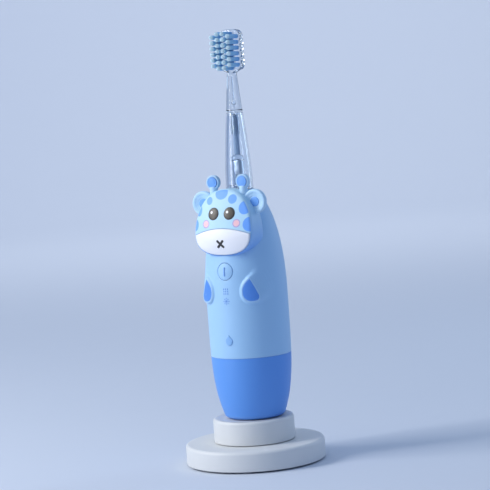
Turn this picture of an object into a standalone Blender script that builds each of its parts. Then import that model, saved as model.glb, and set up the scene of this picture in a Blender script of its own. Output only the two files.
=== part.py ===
"""Child's sonic toothbrush with a giraffe's head, standing on a round induction charger.

Metres, +Z up. The toothbrush faces -Y. The origin is on the floor, under the centre of the
charger's base disc. Heights in the handle are counted from the handle's own bottom, and heights
in the brush head from the top of the handle's shoulder.
"""

from math import cos, hypot, pi, radians, sin, sqrt

import bmesh
import bpy

# ------------------------------------------------------------------------------ driving sizes

GAP = 0.0003                    # between two pieces that rest on, in or round each other
RUNNING_GAP = 0.0004            # round what turns or slides

LARGE_SIDES = 32                # facets of the big round shells
MIDDLE_SIDES = 16
SMALL_SIDES = 10
INNER_STEPS = 7                 # rings of the surfaces inside the sleeve
ARC_STEPS = 3                   # facets of a quarter-round edge
EAR_SIDES = 20
HEAD_SIDES = 32
SHARP_ANGLE = 35                # in degrees, between two faces that meet in an edge
MERGE_DISTANCE = 1e-7

# Charger: base disc
BASE_RADIUS = 0.0325
BASE_HEIGHT = 0.0100            # floor to the disc's top
BASE_LIFT = 0.0008              # floor to the skirt's lower edge
BASE_WALL = 0.0018
BASE_EDGE = 0.0016              # rounding of the upper edge
CABLE_HOLE_RADIUS = 0.0080
FOOT_RADIUS = 0.0040
FOOT_HEIGHT = 0.0012
FOOT_CHAMFER = 0.0004
FOOT_INSET = 0.0085             # foot centre to the base's outer wall
FOOT_ANGLES = (45, 135, 225, 315)
PLATE_THICKNESS = 0.0020
BASE_SCREW_INSET = 0.0060       # screw centre to the base's outer wall
BASE_SCREW_ANGLES = (30, 150, 270)
BASE_BOSS_RADIUS = 0.0030
BASE_BOSS_LIFT = 0.0005         # base plate to the boss's lower end
BALLAST_CLEARANCE = 0.0005      # to the screws inside it and the bosses outside it
BALLAST_THICKNESS = 0.0034
BALLAST_LIFT = 0.0007           # above the base plate

# Screws
SCREW_HEAD_RADIUS = 0.0022
SCREW_HEAD_HEIGHT = 0.0010
SCREW_CHAMFER = 0.0004
SCREW_SHANK_RADIUS = 0.0009
SCREW_SHANK_LENGTH = 0.0049
SCREW_HEAD_INSET = 0.0001       # head below the plate's lower face

# Charger: low-voltage inlet at the back
INLET_WIDTH = 0.0090
INLET_HEIGHT = 0.0032
INLET_LENGTH = 0.0074
INLET_INSET = 0.0009            # mouth behind the base's outer wall
INLET_WALL = 0.0004
INLET_BACK_WALL = 0.0012
TONGUE_THICKNESS = 0.0007       # of the contact tongue
TONGUE_INSET = 0.0012           # from each side of the inlet
TONGUE_RECESS = 0.0008          # behind the inlet's mouth
INLET_LIFT = 0.0011             # above the base plate
BOARD_WIDTH = 0.0180
BOARD_LENGTH = 0.0110
BOARD_THICKNESS = 0.0010
BOARD_CLEARANCE = 0.0020        # to the inside of the base's wall

# Charger: raised puck
PUCK_HEIGHT = 0.0110
PUCK_WALL = 0.0018
PUCK_EDGE = 0.0014
DISH_RIM = 0.00245              # dish's edge to the puck's outer wall
DISH_DEPTH = 0.0006
DISH_WALL = 0.0016
PUCK_SCREW_INSET = 0.00515      # screw centre to the puck's outer wall
PUCK_SCREW_ANGLES = (90, 210, 330)
PUCK_BOSS_RADIUS = 0.0024
SPIGOT_RADIUS = 0.0038
SPIGOT_HEIGHT = 0.0054          # above the dish
SPIGOT_WALL = 0.0012
SPIGOT_EDGE = 0.0008
FERRITE_LIFT = 0.0003           # lower end of the rod above the puck's lower edge
BOBBIN_WALL = 0.0008
BOBBIN_FLANGE_RADIUS = 0.0085
BOBBIN_HEIGHT = 0.0068
BOBBIN_LIFT = 0.0010            # above the puck's lower edge
COIL_INSET = 0.0003             # winding inside the flange's rim

# Handle
SETBACK = 0.0020                # handle axis behind the puck's axis
HANDLE_RADIUS = 0.01895         # at its widest
WIDEST_HEIGHT = 0.0559
BOTTOM_TAPER = 0.285            # share of the radius lost at the very bottom
BOTTOM_POWER = 4.3              # how late the handle narrows towards its bottom
SHOULDER_POWERS = (2.3, 2.2)    # exponents of the curve up to the shoulder: height, radius
BOTTOM_EDGE_WIDTH = 0.0030      # rounding of the bottom edge
BOTTOM_EDGE_HEIGHT = 0.0022
SHOULDER_RADIUS = 0.0066        # where the brush's neck stands
SEAM_HEIGHT = 0.0294            # between the cup and the sleeve
SLEEVE_WALL = 0.0022
CUP_FLOOR = 0.0022
SOCKET_WALL = 0.0013
SOCKET_HEADROOM = 0.0012        # above the spigot
NOSE_RADIUS = 0.0047            # housing's neck inside the shoulder
NOSE_WALL = 0.0008
HOUSING_BOTTOM = 0.0199
HOUSING_WALL = 0.0020
HOUSING_ROOF_DEPTH = 0.0072     # cavity's roof below the shoulder
SEAL_DEPTH = 0.0004             # seal below the shoulder
SEAL_LENGTH = 0.0058
SEAL_LIP_LENGTH = 0.0012        # stretch that runs on the shaft
SEAL_LIP_TAPER = 0.0005
O_RING_HEIGHT = 0.0234
O_RING_THICKNESS = 0.0010
O_RING_SIDES = 4

# Handle: works
RECEIVER_WIDTH = 0.0046
RECEIVER_HEIGHT = 0.0040
CHASSIS_LIFT = 0.0018           # above the cup's charging socket
CHASSIS_WALL = 0.0014
CHASSIS_FLOOR = 0.0017
CHASSIS_FLANGE = 0.0004         # floor beyond the half-shell
BATTERY_RADIUS = 0.0071
BATTERY_LENGTH = 0.0498
BATTERY_NUB_RADIUS = 0.0027
BATTERY_NUB_HEIGHT = 0.0008
PARTITION_THICKNESS = 0.0012
PARTITION_REACH = (0.9, 0.47, 0.75)  # to the sides, front and back, in chassis radii
MOTOR_RADIUS = 0.0080
MOTOR_LENGTH = 0.0245
MOTOR_WALL = 0.0008
NOSE_LENGTH = 0.0178            # motor's top to the shoulder
SHAFT_RADIUS = 0.0018
SHAFT_REACH = 0.0138            # above the shoulder
SHAFT_FLAT_DEPTH = 0.0005
SHAFT_FLAT_START = 0.0018       # above the shoulder
BEARING_WALL = 0.0011
BEARING_HEIGHT = 0.0022
ROTOR_WALL = 0.0027
ROTOR_LENGTH = 0.0120
STATOR_WALL = 0.0016
STATOR_LENGTH = 0.0150
MAIN_BOARD_WIDTH = 0.0120
MAIN_BOARD_LENGTH = 0.0500
MAIN_BOARD_THICKNESS = 0.0012
MAIN_BOARD_LIFT = 0.0006        # in front of the motor
MAIN_BOARD_ABOVE_BUTTON = 0.0082
SWITCH_SIZE = 0.0045
SWITCH_DEPTH = 0.0014
LED_SIZE = 0.0016
LED_DEPTH = 0.0006

# Handle: button and indicators, with depths below the shoulder
BUTTON_DEPTH = 0.0364
BUTTON_RADIUS = 0.0039
BUTTON_PROUD = 0.00085
BUTTON_THICKNESS = 0.0025
BUTTON_EDGE = 0.0005
BUTTON_STEM_RADIUS = 0.0016
BUTTON_TRAVEL = 0.0005
BUTTON_BAR_WIDTH = 0.0008
BUTTON_BAR_LENGTH = 0.0040
BUTTON_BAR_PROUD = 0.0003
PLUNGER_RADIUS = 0.0010
PLUNGER_LENGTH = 0.0006
PLUNGER_CLEARANCE = 0.0001      # to the switch with the button pressed
LENS_RADIUS = 0.0015
LENS_LENGTH = 0.0020
LENS_DEPTHS = (0.0455, 0.0500)

# Handle: arms
ARM_DEPTH = 0.0452              # centre of the paw below the shoulder
ARM_ANGLE = 36                  # from the front, in degrees
ARM_SINK = 0.0019               # centre of the bulge inside the sleeve's surface
ARM_HALF_WIDTH = 0.0078
ARM_HALF_HEIGHT = 0.0068
ARM_BULGE = 0.0036
ARM_RIM_SHARE = 0.02            # least share of the bulge that a patch's surface keeps
PAW_OFFSET = 0.0021             # patch centre towards the front
PAW_HALF_WIDTH = 0.0040
PAW_HALF_HEIGHT = 0.0048
PAW_POINT = 0.55                # share of the width lost at the point
PAW_POINT_POWER = 1.4
PAW_THICKNESS = 0.0009
PAW_PROUD = 0.0001

# Giraffe's head, in a frame whose +Z points to the front
HEAD_DEPTH = 0.0192             # widest line of the head below the shoulder
HEAD_HALF_WIDTH = 0.0152
HEAD_RISE = 0.0204
HEAD_DROP = 0.0103
HEAD_ROUNDNESS_TOP = 2.2        # exponents of the outline's superellipse
HEAD_ROUNDNESS_BOTTOM = 2.4
HEAD_STANDOFF = 0.0003          # ridge round the face in front of the sleeve, at the chin
HEAD_LEAN = 0.20                # how fast the face falls back towards the crown
HEAD_LEAN_START = 0.003         # height over which the lean sets in
HEAD_NECK_GAP = 0.0006          # rear edge in front of the brush's neck
HEAD_BULGE = 0.0024
HEAD_EDGE = 0.0012
HEAD_WALL = 0.0020
HEAD_RINGS = (0.75, 0.5, 0.2)   # of the face, in shares of its outline
HEAD_INNER_RINGS = (1.0, 0.55, 0.15)
MUZZLE_INSET = 0.0008
MUZZLE_TOP = 0.0026             # above the head's widest line
MUZZLE_CORNER = -0.0002
MUZZLE_CORNER_BLEND = 0.0004    # outline left out below each corner
MUZZLE_THICKNESS = 0.0009
MUZZLE_PROUD = 0.0002
EYE_SPACING = 0.0084
EYE_HEIGHT = 0.0092
EYE_RADIUS = 0.00265
EYE_THICKNESS = 0.0008
EYE_PROUD = 0.0004
EAR_OFFSET = 0.0019             # centre outside the head's outline
EAR_HEIGHT = 0.0139
EAR_RADIUS = 0.0058
EAR_FORWARD = 0.0044            # front in front of the head's rear edge
EAR_THICKNESS = 0.0026
EAR_EDGE_WIDTH = 0.0006
EAR_EDGE_HEIGHT = 0.0008
EAR_RIM = 0.0013                # outer edge to where the dish begins
EAR_DISH = 0.0009               # depth
EAR_DISH_RADIUS = 0.0035        # of its flat floor
EAR_PATCH_RADIUS = 0.0024
EAR_PATCH_THICKNESS = 0.0006
HORN_SPACING = 0.0158
HORN_LIFT = 0.0054              # centre above the head's outline
HORN_RADIUS = 0.0032
HORN_FORWARD = 0.0042           # front in front of the head's rear edge
HORN_THICKNESS = 0.0025
HORN_EDGE = 0.0005
HORN_STEM_RADIUS = 0.0012
HORN_CAP_RADIUS = 0.00245
HORN_CAP_THICKNESS = 0.0006
HORN_POCKET = 0.0005

# Brush head, with heights above the shoulder
NECK_RADIUS = 0.0064
NECK_TOP_RADIUS = 0.00385
NECK_LENGTH = 0.0354
NECK_WALL = 0.0011
NECK_FLARE = 1.6                # how late the neck narrows
STEM_LENGTH = 0.0180            # neck joint to the bristle plate
STEM_TOP_RADIUS = 0.0023
STEM_ROOT = 0.0030              # of the stem, inside the plate
STEM_ROOT_TAPER = 0.0002
PEG_RADIUS = 0.0019             # peg of the brush head inside the neck
PEG_LENGTH = 0.0102
PLATE_LENGTH = 0.0200
PLATE_HALF_WIDTH = 0.0059
PLATE_CORNER = 0.0036
PLATE_FRONT = 0.0010            # in front of the brush's axis
PLATE_BACK = 0.0030
PLATE_EDGE = 0.0009
PLATE_BACK_INSET = 0.0022       # rounding of the plate's back
CARRIER_INSET = 0.0006          # bristle carrier inside the plate's outline
CARRIER_DEPTH = 0.0010
TUFT_RADIUS = 0.00095
TUFT_TIP_RADIUS = 0.00076
TUFT_LENGTH = 0.0088            # out of the plate
TUFT_PITCH = 0.0029
TUFT_COLUMNS = {-1.5: 6, -0.5: 7, 0.5: 7, 1.5: 6}  # place in pitches, and tufts in it
TUFT_SIDES = 6
COUPLER_WALL = 0.0008           # of the tube over the shaft
COUPLER_LIFT = 0.0010           # above the shoulder
COUPLER_FLANGE_THICKNESS = 0.0012
COUPLER_HEADROOM = 0.0005       # above the shaft's end
COUPLER_ROOF = 0.0020
COUPLER_ROUNDING = 0.0012

# Colours and finishes: colour, roughness, metallic, transmission
FINISHES = {
    "sleeve_blue": ((0.36, 0.62, 0.92), 0.45, 0.0, 0.0),
    "face_blue": ((0.47, 0.75, 0.98), 0.45, 0.0, 0.0),
    "deep_blue": ((0.11, 0.27, 0.90), 0.42, 0.0, 0.0),
    "charger_white": ((0.72, 0.77, 0.85), 0.40, 0.0, 0.0),
    "muzzle_white": ((0.90, 0.90, 0.93), 0.38, 0.0, 0.0),
    "eye_brown": ((0.075, 0.060, 0.045), 0.15, 0.0, 0.0),
    "clear_plastic": ((0.80, 0.90, 1.00), 0.05, 0.0, 0.9),
    "bristle_blue": ((0.20, 0.45, 0.92), 0.50, 0.0, 0.0),
    "housing_white": ((0.80, 0.82, 0.85), 0.45, 0.0, 0.0),
    "lens_clear": ((0.62, 0.80, 0.98), 0.12, 0.0, 0.5),
    "rubber_grey": ((0.20, 0.21, 0.23), 0.75, 0.0, 0.0),
    "seal_rubber": ((0.05, 0.05, 0.06), 0.65, 0.0, 0.0),
    "steel": ((0.60, 0.61, 0.63), 0.30, 1.0, 0.0),
    "copper": ((0.85, 0.42, 0.22), 0.35, 1.0, 0.0),
    "ferrite": ((0.06, 0.06, 0.065), 0.60, 0.2, 0.0),
    "iron_ballast": ((0.28, 0.28, 0.29), 0.55, 1.0, 0.0),
    "board_green": ((0.03, 0.22, 0.10), 0.45, 0.0, 0.0),
    "cell_wrap": ((0.10, 0.35, 0.30), 0.35, 0.0, 0.0),
    "chassis_grey": ((0.33, 0.35, 0.38), 0.50, 0.0, 0.0),
    "switch_black": ((0.03, 0.03, 0.035), 0.40, 0.0, 0.0),
    "led_white": ((0.95, 0.95, 0.88), 0.25, 0.0, 0.0),
}

# ----------------------------------------------------------------------------- derived places

PLATE_BOTTOM = FOOT_HEIGHT + GAP
PLATE_TOP = PLATE_BOTTOM + PLATE_THICKNESS
BASE_ROOF = BASE_HEIGHT - BASE_WALL
PUCK_RADIUS = HANDLE_RADIUS
PUCK_BOTTOM = BASE_HEIGHT + GAP
PUCK_TOP = PUCK_BOTTOM + PUCK_HEIGHT
DISH_RADIUS = PUCK_RADIUS - DISH_RIM
DISH_FLOOR = PUCK_TOP - DISH_DEPTH
DISH_ROOF = DISH_FLOOR - DISH_WALL
PUCK_SCREW_CIRCLE = PUCK_RADIUS - PUCK_SCREW_INSET
HANDLE_BOTTOM = DISH_FLOOR + GAP

SOCKET_RADIUS = SPIGOT_RADIUS + RUNNING_GAP
SOCKET_DEPTH = SPIGOT_HEIGHT - GAP + SOCKET_HEADROOM
SOCKET_TOP = SOCKET_DEPTH + SOCKET_WALL
CHASSIS_BOTTOM = SOCKET_TOP + CHASSIS_LIFT
CHASSIS_INNER = max(MOTOR_RADIUS, BATTERY_RADIUS) + RUNNING_GAP
CHASSIS_OUTER = CHASSIS_INNER + CHASSIS_WALL
BATTERY_BOTTOM = CHASSIS_BOTTOM + CHASSIS_FLOOR + GAP
BATTERY_TOP = BATTERY_BOTTOM + BATTERY_LENGTH
PARTITION_BOTTOM = BATTERY_TOP + BATTERY_NUB_HEIGHT + GAP
PARTITION_TOP = PARTITION_BOTTOM + PARTITION_THICKNESS
MOTOR_BOTTOM = PARTITION_TOP + GAP
MOTOR_TOP = MOTOR_BOTTOM + MOTOR_LENGTH
HANDLE_LENGTH = MOTOR_TOP + NOSE_LENGTH
BEARING_INNER = SHAFT_RADIUS + GAP
BEARING_OUTER = BEARING_INNER + BEARING_WALL
NOSE_BORE = NOSE_RADIUS - NOSE_WALL

BUTTON_HEIGHT = HANDLE_LENGTH - BUTTON_DEPTH
BOARD_BACK = MOTOR_RADIUS + MAIN_BOARD_LIFT
BOARD_FRONT = BOARD_BACK + MAIN_BOARD_THICKNESS
SWITCH_BACK = BOARD_FRONT + GAP
SWITCH_FRONT = SWITCH_BACK + SWITCH_DEPTH
PLUNGER_BACK = SWITCH_FRONT + BUTTON_TRAVEL + PLUNGER_CLEARANCE
PLUNGER_FRONT = PLUNGER_BACK + PLUNGER_LENGTH

NECK_BOTTOM = GAP
NECK_TOP = NECK_BOTTOM + NECK_LENGTH
HEAD_BASE = NECK_TOP + GAP
STEM_TOP = HEAD_BASE + STEM_LENGTH
PEG_BOTTOM = HEAD_BASE - PEG_LENGTH
COUPLER_BORE = SHAFT_RADIUS + GAP
COUPLER_RADIUS = COUPLER_BORE + COUPLER_WALL
COUPLER_BORE_TOP = SHAFT_REACH + COUPLER_HEADROOM
COUPLER_TUBE_TOP = COUPLER_BORE_TOP + COUPLER_ROOF

BALLAST_INNER = PUCK_SCREW_CIRCLE + SCREW_HEAD_RADIUS + BALLAST_CLEARANCE
BALLAST_OUTER = BASE_RADIUS - BASE_SCREW_INSET - BASE_BOSS_RADIUS - BALLAST_CLEARANCE


# ------------------------------------------------------------------------------ shape formulas

def shoulder_span():
    """Height over which the handle would close to a point above its widest section."""
    height_power, radius_power = SHOULDER_POWERS
    share = (1 - (SHOULDER_RADIUS / HANDLE_RADIUS) ** radius_power) ** (1 / height_power)
    return (HANDLE_LENGTH - WIDEST_HEIGHT) / share


def handle_radius(height):
    """Outer radius of the handle at a height above its bottom."""
    if height < WIDEST_HEIGHT:
        drop = (WIDEST_HEIGHT - height) / WIDEST_HEIGHT
        return HANDLE_RADIUS * (1 - BOTTOM_TAPER * drop ** BOTTOM_POWER)
    height_power, radius_power = SHOULDER_POWERS
    rise = (height - WIDEST_HEIGHT) / shoulder_span()
    return HANDLE_RADIUS * (1 - rise ** height_power) ** (1 / radius_power)


HEAD_FRONT = handle_radius(HANDLE_LENGTH - HEAD_DEPTH - HEAD_DROP) + HEAD_STANDOFF
HEAD_BACK = NECK_RADIUS + HEAD_NECK_GAP
EAR_FRONT = HEAD_BACK + EAR_FORWARD
HORN_FRONT = HEAD_BACK + HORN_FORWARD


def shell_inner_radius(height):
    """Inside of the sleeve and the cup."""
    return max(handle_radius(height) - SLEEVE_WALL, NOSE_RADIUS + GAP)


def housing_radius(height):
    """Outside of the inner housing."""
    return shell_inner_radius(height) - GAP


def upper_heights(steps):
    """Heights from the widest section to the shoulder, closer together where the curve is tight."""
    span = HANDLE_LENGTH - WIDEST_HEIGHT
    return [WIDEST_HEIGHT + span * sin(pi / 2 * i / steps) for i in range(steps + 1)]


def neck_radius(height):
    share = (height - NECK_BOTTOM) / NECK_LENGTH
    return NECK_RADIUS - (NECK_RADIUS - NECK_TOP_RADIUS) * share ** NECK_FLARE


def spread(low, high, steps):
    """Evenly spaced values from low to high, both included."""
    return [low + (high - low) * i / steps for i in range(steps + 1)]


def quarter(centre, half_width, half_height, start):
    """Points of a quarter-round edge, from the angle start, in degrees, to 90 degrees less."""
    angles = [radians(start - 90 * i / ARC_STEPS) for i in range(ARC_STEPS + 1)]
    return [(centre[0] + half_width * cos(a), centre[1] + half_height * sin(a)) for a in angles]


def on_circle(radius, angle):
    return (radius * cos(radians(angle)), radius * sin(radians(angle)))


def head_outline(inset, sides=HEAD_SIDES, scale=1.0):
    """Points round the giraffe's head, anticlockwise seen from the front."""
    points = []
    for i in range(sides):
        angle = 2 * pi * i / sides
        c, s = cos(angle), sin(angle)
        power = 2 / (HEAD_ROUNDNESS_TOP if s > 0 else HEAD_ROUNDNESS_BOTTOM)
        height = (HEAD_RISE if s > 0 else HEAD_DROP) - inset
        x = (HEAD_HALF_WIDTH - inset) * abs(c) ** power * (1 if c > 0 else -1)
        y = height * abs(s) ** power * (1 if s > 0 else -1)
        points.append((x * scale, y * scale))
    return points


def head_half_width(y):
    """Half the head's width at a height above its widest line."""
    rest = 1 - (y / HEAD_RISE) ** HEAD_ROUNDNESS_TOP
    return HEAD_HALF_WIDTH * rest ** (1 / HEAD_ROUNDNESS_TOP)


def head_crown(x):
    """Height of the head's upper outline at a distance from its middle."""
    rest = 1 - (x / HEAD_HALF_WIDTH) ** HEAD_ROUNDNESS_TOP
    return HEAD_RISE * rest ** (1 / HEAD_ROUNDNESS_TOP)


def head_share(x, y):
    """0 at the middle of the face and 1 on the head's outline."""
    power = HEAD_ROUNDNESS_TOP if y > 0 else HEAD_ROUNDNESS_BOTTOM
    height = HEAD_RISE if y > 0 else HEAD_DROP
    return (abs(x / HEAD_HALF_WIDTH) ** power + abs(y / height) ** power) ** (1 / power)


def face_front(x, y):
    """Front of the face, in front of the handle's axis: a ridge that leans back, and a bulge."""
    softened = (y + sqrt(y * y + HEAD_LEAN_START ** 2)) / 2
    bulge = HEAD_BULGE * max(0.0, 1 - head_share(x, y) ** 2)
    return HEAD_FRONT - HEAD_LEAN * softened + bulge


def muzzle_outline(grow=0.0, steps=10):
    """Lower half of the head's outline, closed by a shallow arc above."""
    inset = MUZZLE_INSET - grow
    corner = MUZZLE_CORNER + grow
    lower = [p for p in head_outline(inset) if p[1] < corner - MUZZLE_CORNER_BLEND]
    left, right = min(lower)[0], max(lower)[0]
    top = MUZZLE_TOP + grow
    arc = []
    for share in spread(0, 1, steps):
        x = right + (left - right) * share
        arc.append((x, corner + (top - corner) * (1 - (2 * share - 1) ** 2)))
    start = min(range(len(lower)), key=lambda i: lower[i][0])
    lower = lower[start:] + lower[:start]
    return lower + arc


def disc_outline(radius, sides=MIDDLE_SIDES, centre=(0, 0)):
    angles = [2 * pi * i / sides for i in range(sides)]
    return [(centre[0] + radius * cos(a), centre[1] + radius * sin(a)) for a in angles]


def paw_outline(side, grow=0.0):
    """Leaf with its point upwards; its centre is moved towards the front of the handle."""
    points = []
    for i in range(MIDDLE_SIDES):
        angle = 2 * pi * i / MIDDLE_SIDES
        height = sin(angle)
        width = cos(angle) * (1 - PAW_POINT * max(0.0, height) ** PAW_POINT_POWER)
        x = -side * PAW_OFFSET + (PAW_HALF_WIDTH + grow) * width
        points.append((x, (PAW_HALF_HEIGHT + grow) * height))
    return points


def arm_surface(x, y):
    """Outer surface of an arm's bulge above its own centre."""
    share = (x / ARM_HALF_WIDTH) ** 2 + (y / ARM_HALF_HEIGHT) ** 2
    return ARM_BULGE * sqrt(max(ARM_RIM_SHARE, 1 - share))


def plate_outline(inset, corner_steps=4):
    """Rounded oblong of the bristle plate, about its own centre, in (x, z)."""
    corner = PLATE_CORNER - inset
    half_width = PLATE_HALF_WIDTH - inset
    half_length = PLATE_LENGTH / 2 - inset
    points = []
    for quadrant in range(4):
        x = (half_width - corner) * (1 if quadrant in (0, 3) else -1)
        z = (half_length - corner) * (1 if quadrant < 2 else -1)
        for i in range(corner_steps + 1):
            angle = pi / 2 * (quadrant + i / corner_steps)
            points.append((x + corner * cos(angle), z + corner * sin(angle)))
    return points


# ------------------------------------------------------------------------------ mesh building

def finished(bm):
    """Closes a bmesh into a mesh that faces out and is shaded smooth."""
    bmesh.ops.remove_doubles(bm, verts=bm.verts, dist=MERGE_DISTANCE)
    bmesh.ops.recalc_face_normals(bm, faces=bm.faces)
    mesh = bpy.data.meshes.new("shape")
    bm.to_mesh(mesh)
    bm.free()
    mesh.shade_smooth()
    mesh.set_sharp_from_angle(angle=radians(SHARP_ANGLE))
    return mesh


def turned(profile, sides, half=False):
    """Solid turned about Z from (radius, height) points, either closed or from axis to axis."""
    bm = bmesh.new()
    verts = [bm.verts.new((radius, 0, height)) for radius, height in profile]
    on_axis = profile[0][0] == 0 and profile[-1][0] == 0
    ends = verts[1:] if on_axis else verts[1:] + verts[:1]
    edges = [bm.edges.new(pair) for pair in zip(verts, ends)]
    steps = sides // 2 if half else sides
    bmesh.ops.spin(
        bm,
        geom=verts + edges,
        axis=(0, 0, 1),
        cent=(0, 0, 0),
        angle=pi if half else 2 * pi,
        steps=steps,
        use_merge=not half,
    )
    if half:
        open_edges = [edge for edge in bm.edges if edge.is_boundary]
        bmesh.ops.holes_fill(bm, edges=open_edges, sides=0)
    return finished(bm)


def rod(radius, bottom, top, sides=SMALL_SIDES):
    return turned([(0, bottom), (radius, bottom), (radius, top), (0, top)], sides)


def tube(inner, outer, bottom, top, sides=MIDDLE_SIDES):
    return turned([(inner, bottom), (outer, bottom), (outer, top), (inner, top)], sides)


def loft(rings):
    """Solid through a stack of rings with equal point counts, closed at both ends."""
    bm = bmesh.new()
    loops = [[bm.verts.new(point) for point in ring] for ring in rings]
    for low, high in zip(loops, loops[1:]):
        for i, _ in enumerate(low):
            bm.faces.new((low[i - 1], low[i], high[i], high[i - 1]))
    bm.faces.new(loops[0])
    bm.faces.new(loops[-1])
    return finished(bm)


def prism(outline, bottom, top):
    return loft([[(x, y, z) for x, y in outline] for z in (bottom, top)])


def block(low, high):
    corners = [(low[0], low[1]), (high[0], low[1]), (high[0], high[1]), (low[0], high[1])]
    return prism(corners, low[2], high[2])


def plaque(outline, surface, thickness, proud=0.0):
    """Plate whose outer face follows a surface, a height over (x, y), with straight sides."""
    count = len(outline)
    middle = (sum(p[0] for p in outline) / count, sum(p[1] for p in outline) / count)

    def ring(share, lift):
        points = []
        for x, y in outline:
            u = middle[0] + (x - middle[0]) * share
            v = middle[1] + (y - middle[1]) * share
            points.append((u, v, surface(u, v) + lift))
        return points

    shares = (0.3, 1.0)
    outer = [ring(share, proud) for share in shares]
    inner = [ring(share, proud - thickness) for share in reversed(shares)]
    return loft(outer + inner)


def ellipsoid(half_sizes, sides, rings):
    bm = bmesh.new()
    bmesh.ops.create_uvsphere(bm, u_segments=sides, v_segments=rings, radius=1.0)
    bmesh.ops.scale(bm, vec=half_sizes, verts=bm.verts)
    return finished(bm)


# ----------------------------------------------------------------------------- scene and joins

def clear_scene():
    for obj in list(bpy.data.objects):
        bpy.data.objects.remove(obj)


def make_finish(name):
    colour, roughness, metallic, transmission = FINISHES[name]
    finish = bpy.data.materials.new(name)
    finish.use_nodes = True
    finish.diffuse_color = (*colour, 1.0)
    shader = finish.node_tree.nodes["Principled BSDF"]
    shader.inputs["Base Color"].default_value = (*colour, 1.0)
    shader.inputs["Roughness"].default_value = roughness
    shader.inputs["Metallic"].default_value = metallic
    shader.inputs["Transmission Weight"].default_value = transmission
    return finish


def add_frame(name, parent=None, location=(0, 0, 0), rotation=(0, 0, 0)):
    frame = bpy.data.objects.new(name, None)
    bpy.context.scene.collection.objects.link(frame)
    frame.parent = parent
    frame.location = location
    frame.rotation_euler = rotation
    frame.empty_display_size = 0.01
    return frame


def add_piece(name, mesh, finish, parent=None, location=(0, 0, 0), rotation=(0, 0, 0)):
    """One sub-part with its own material."""
    piece = bpy.data.objects.new(name, mesh)
    bpy.context.scene.collection.objects.link(piece)
    piece.parent = parent
    piece.location = location
    piece.rotation_euler = rotation
    mesh.name = name
    if finish and not mesh.materials:
        mesh.materials.append(finish)
    return piece


def shape_with(piece, operation, mesh, location=(0, 0, 0), rotation=(0, 0, 0), name="helper"):
    """Cuts a helper out of a piece, or joins it on. The helper isn't part of the model."""
    tool = add_piece(f"{piece.name}_{name}", mesh, None, piece, location, rotation)
    tool.hide_render = True
    tool.display_type = "WIRE"
    modifier = piece.modifiers.new(tool.name, "BOOLEAN")
    modifier.operation = operation
    modifier.solver = "EXACT"
    modifier.object = tool
    return tool


def cut(piece, mesh, location=(0, 0, 0), rotation=(0, 0, 0)):
    shape_with(piece, "DIFFERENCE", mesh, location, rotation, "cutter")


def join(piece, mesh, location=(0, 0, 0), rotation=(0, 0, 0)):
    shape_with(piece, "UNION", mesh, location, rotation, "addition")


FORWARD = (radians(90), 0, 0)   # turns a shape's own +Z to the toothbrush's front, -Y


# ------------------------------------------------------------------------------------ charger

def screw_mesh(bottom):
    """Pan-head screw, head down, with a cross recess left to the finish."""
    head_top = bottom + SCREW_HEAD_HEIGHT
    profile = [
        (0, bottom),
        (SCREW_HEAD_RADIUS - SCREW_CHAMFER, bottom),
        (SCREW_HEAD_RADIUS, bottom + SCREW_CHAMFER),
        (SCREW_HEAD_RADIUS, head_top),
        (SCREW_SHANK_RADIUS, head_top),
        (SCREW_SHANK_RADIUS, head_top + SCREW_SHANK_LENGTH),
        (0, head_top + SCREW_SHANK_LENGTH),
    ]
    return turned(profile, SMALL_SIDES)


def make_base_shell(finish):
    inner = BASE_RADIUS - BASE_WALL
    edge = quarter((BASE_RADIUS - BASE_EDGE, BASE_HEIGHT - BASE_EDGE), BASE_EDGE, BASE_EDGE, 90)
    profile = [(CABLE_HOLE_RADIUS, BASE_HEIGHT)]
    profile += edge
    profile += [(BASE_RADIUS, BASE_LIFT), (inner, BASE_LIFT)]
    profile += [(inner, BASE_ROOF), (CABLE_HOLE_RADIUS, BASE_ROOF)]
    shell = add_piece("base_shell", turned(profile, LARGE_SIDES), finish)
    boss = tube(
        SCREW_SHANK_RADIUS + GAP,
        BASE_BOSS_RADIUS,
        PLATE_TOP + BASE_BOSS_LIFT,
        BASE_ROOF + BASE_WALL / 2,
        SMALL_SIDES,
    )
    for angle in BASE_SCREW_ANGLES:
        join(shell, boss, (*on_circle(BASE_RADIUS - BASE_SCREW_INSET, angle), 0))
    hole = rod(SCREW_SHANK_RADIUS + GAP, BASE_ROOF - GAP, BASE_HEIGHT + GAP)
    for angle in PUCK_SCREW_ANGLES:
        cut(shell, hole, (*on_circle(PUCK_SCREW_CIRCLE, angle), 0))
    low, high = inlet_corners(GAP)
    slot_low = (low[0], BASE_RADIUS - 2 * BASE_WALL, low[2])
    slot_high = (high[0], BASE_RADIUS + BASE_WALL, high[2])
    cut(shell, block(slot_low, slot_high))
    return shell


def inlet_corners(grow=0.0):
    """Lowest and highest corner of the inlet at the back, grown all round."""
    back = BASE_RADIUS - INLET_INSET
    bottom = PLATE_TOP + INLET_LIFT
    low = (-INLET_WIDTH / 2 - grow, back - INLET_LENGTH - grow, bottom - grow)
    high = (INLET_WIDTH / 2 + grow, back + grow, bottom + INLET_HEIGHT + grow)
    return low, high


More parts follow.
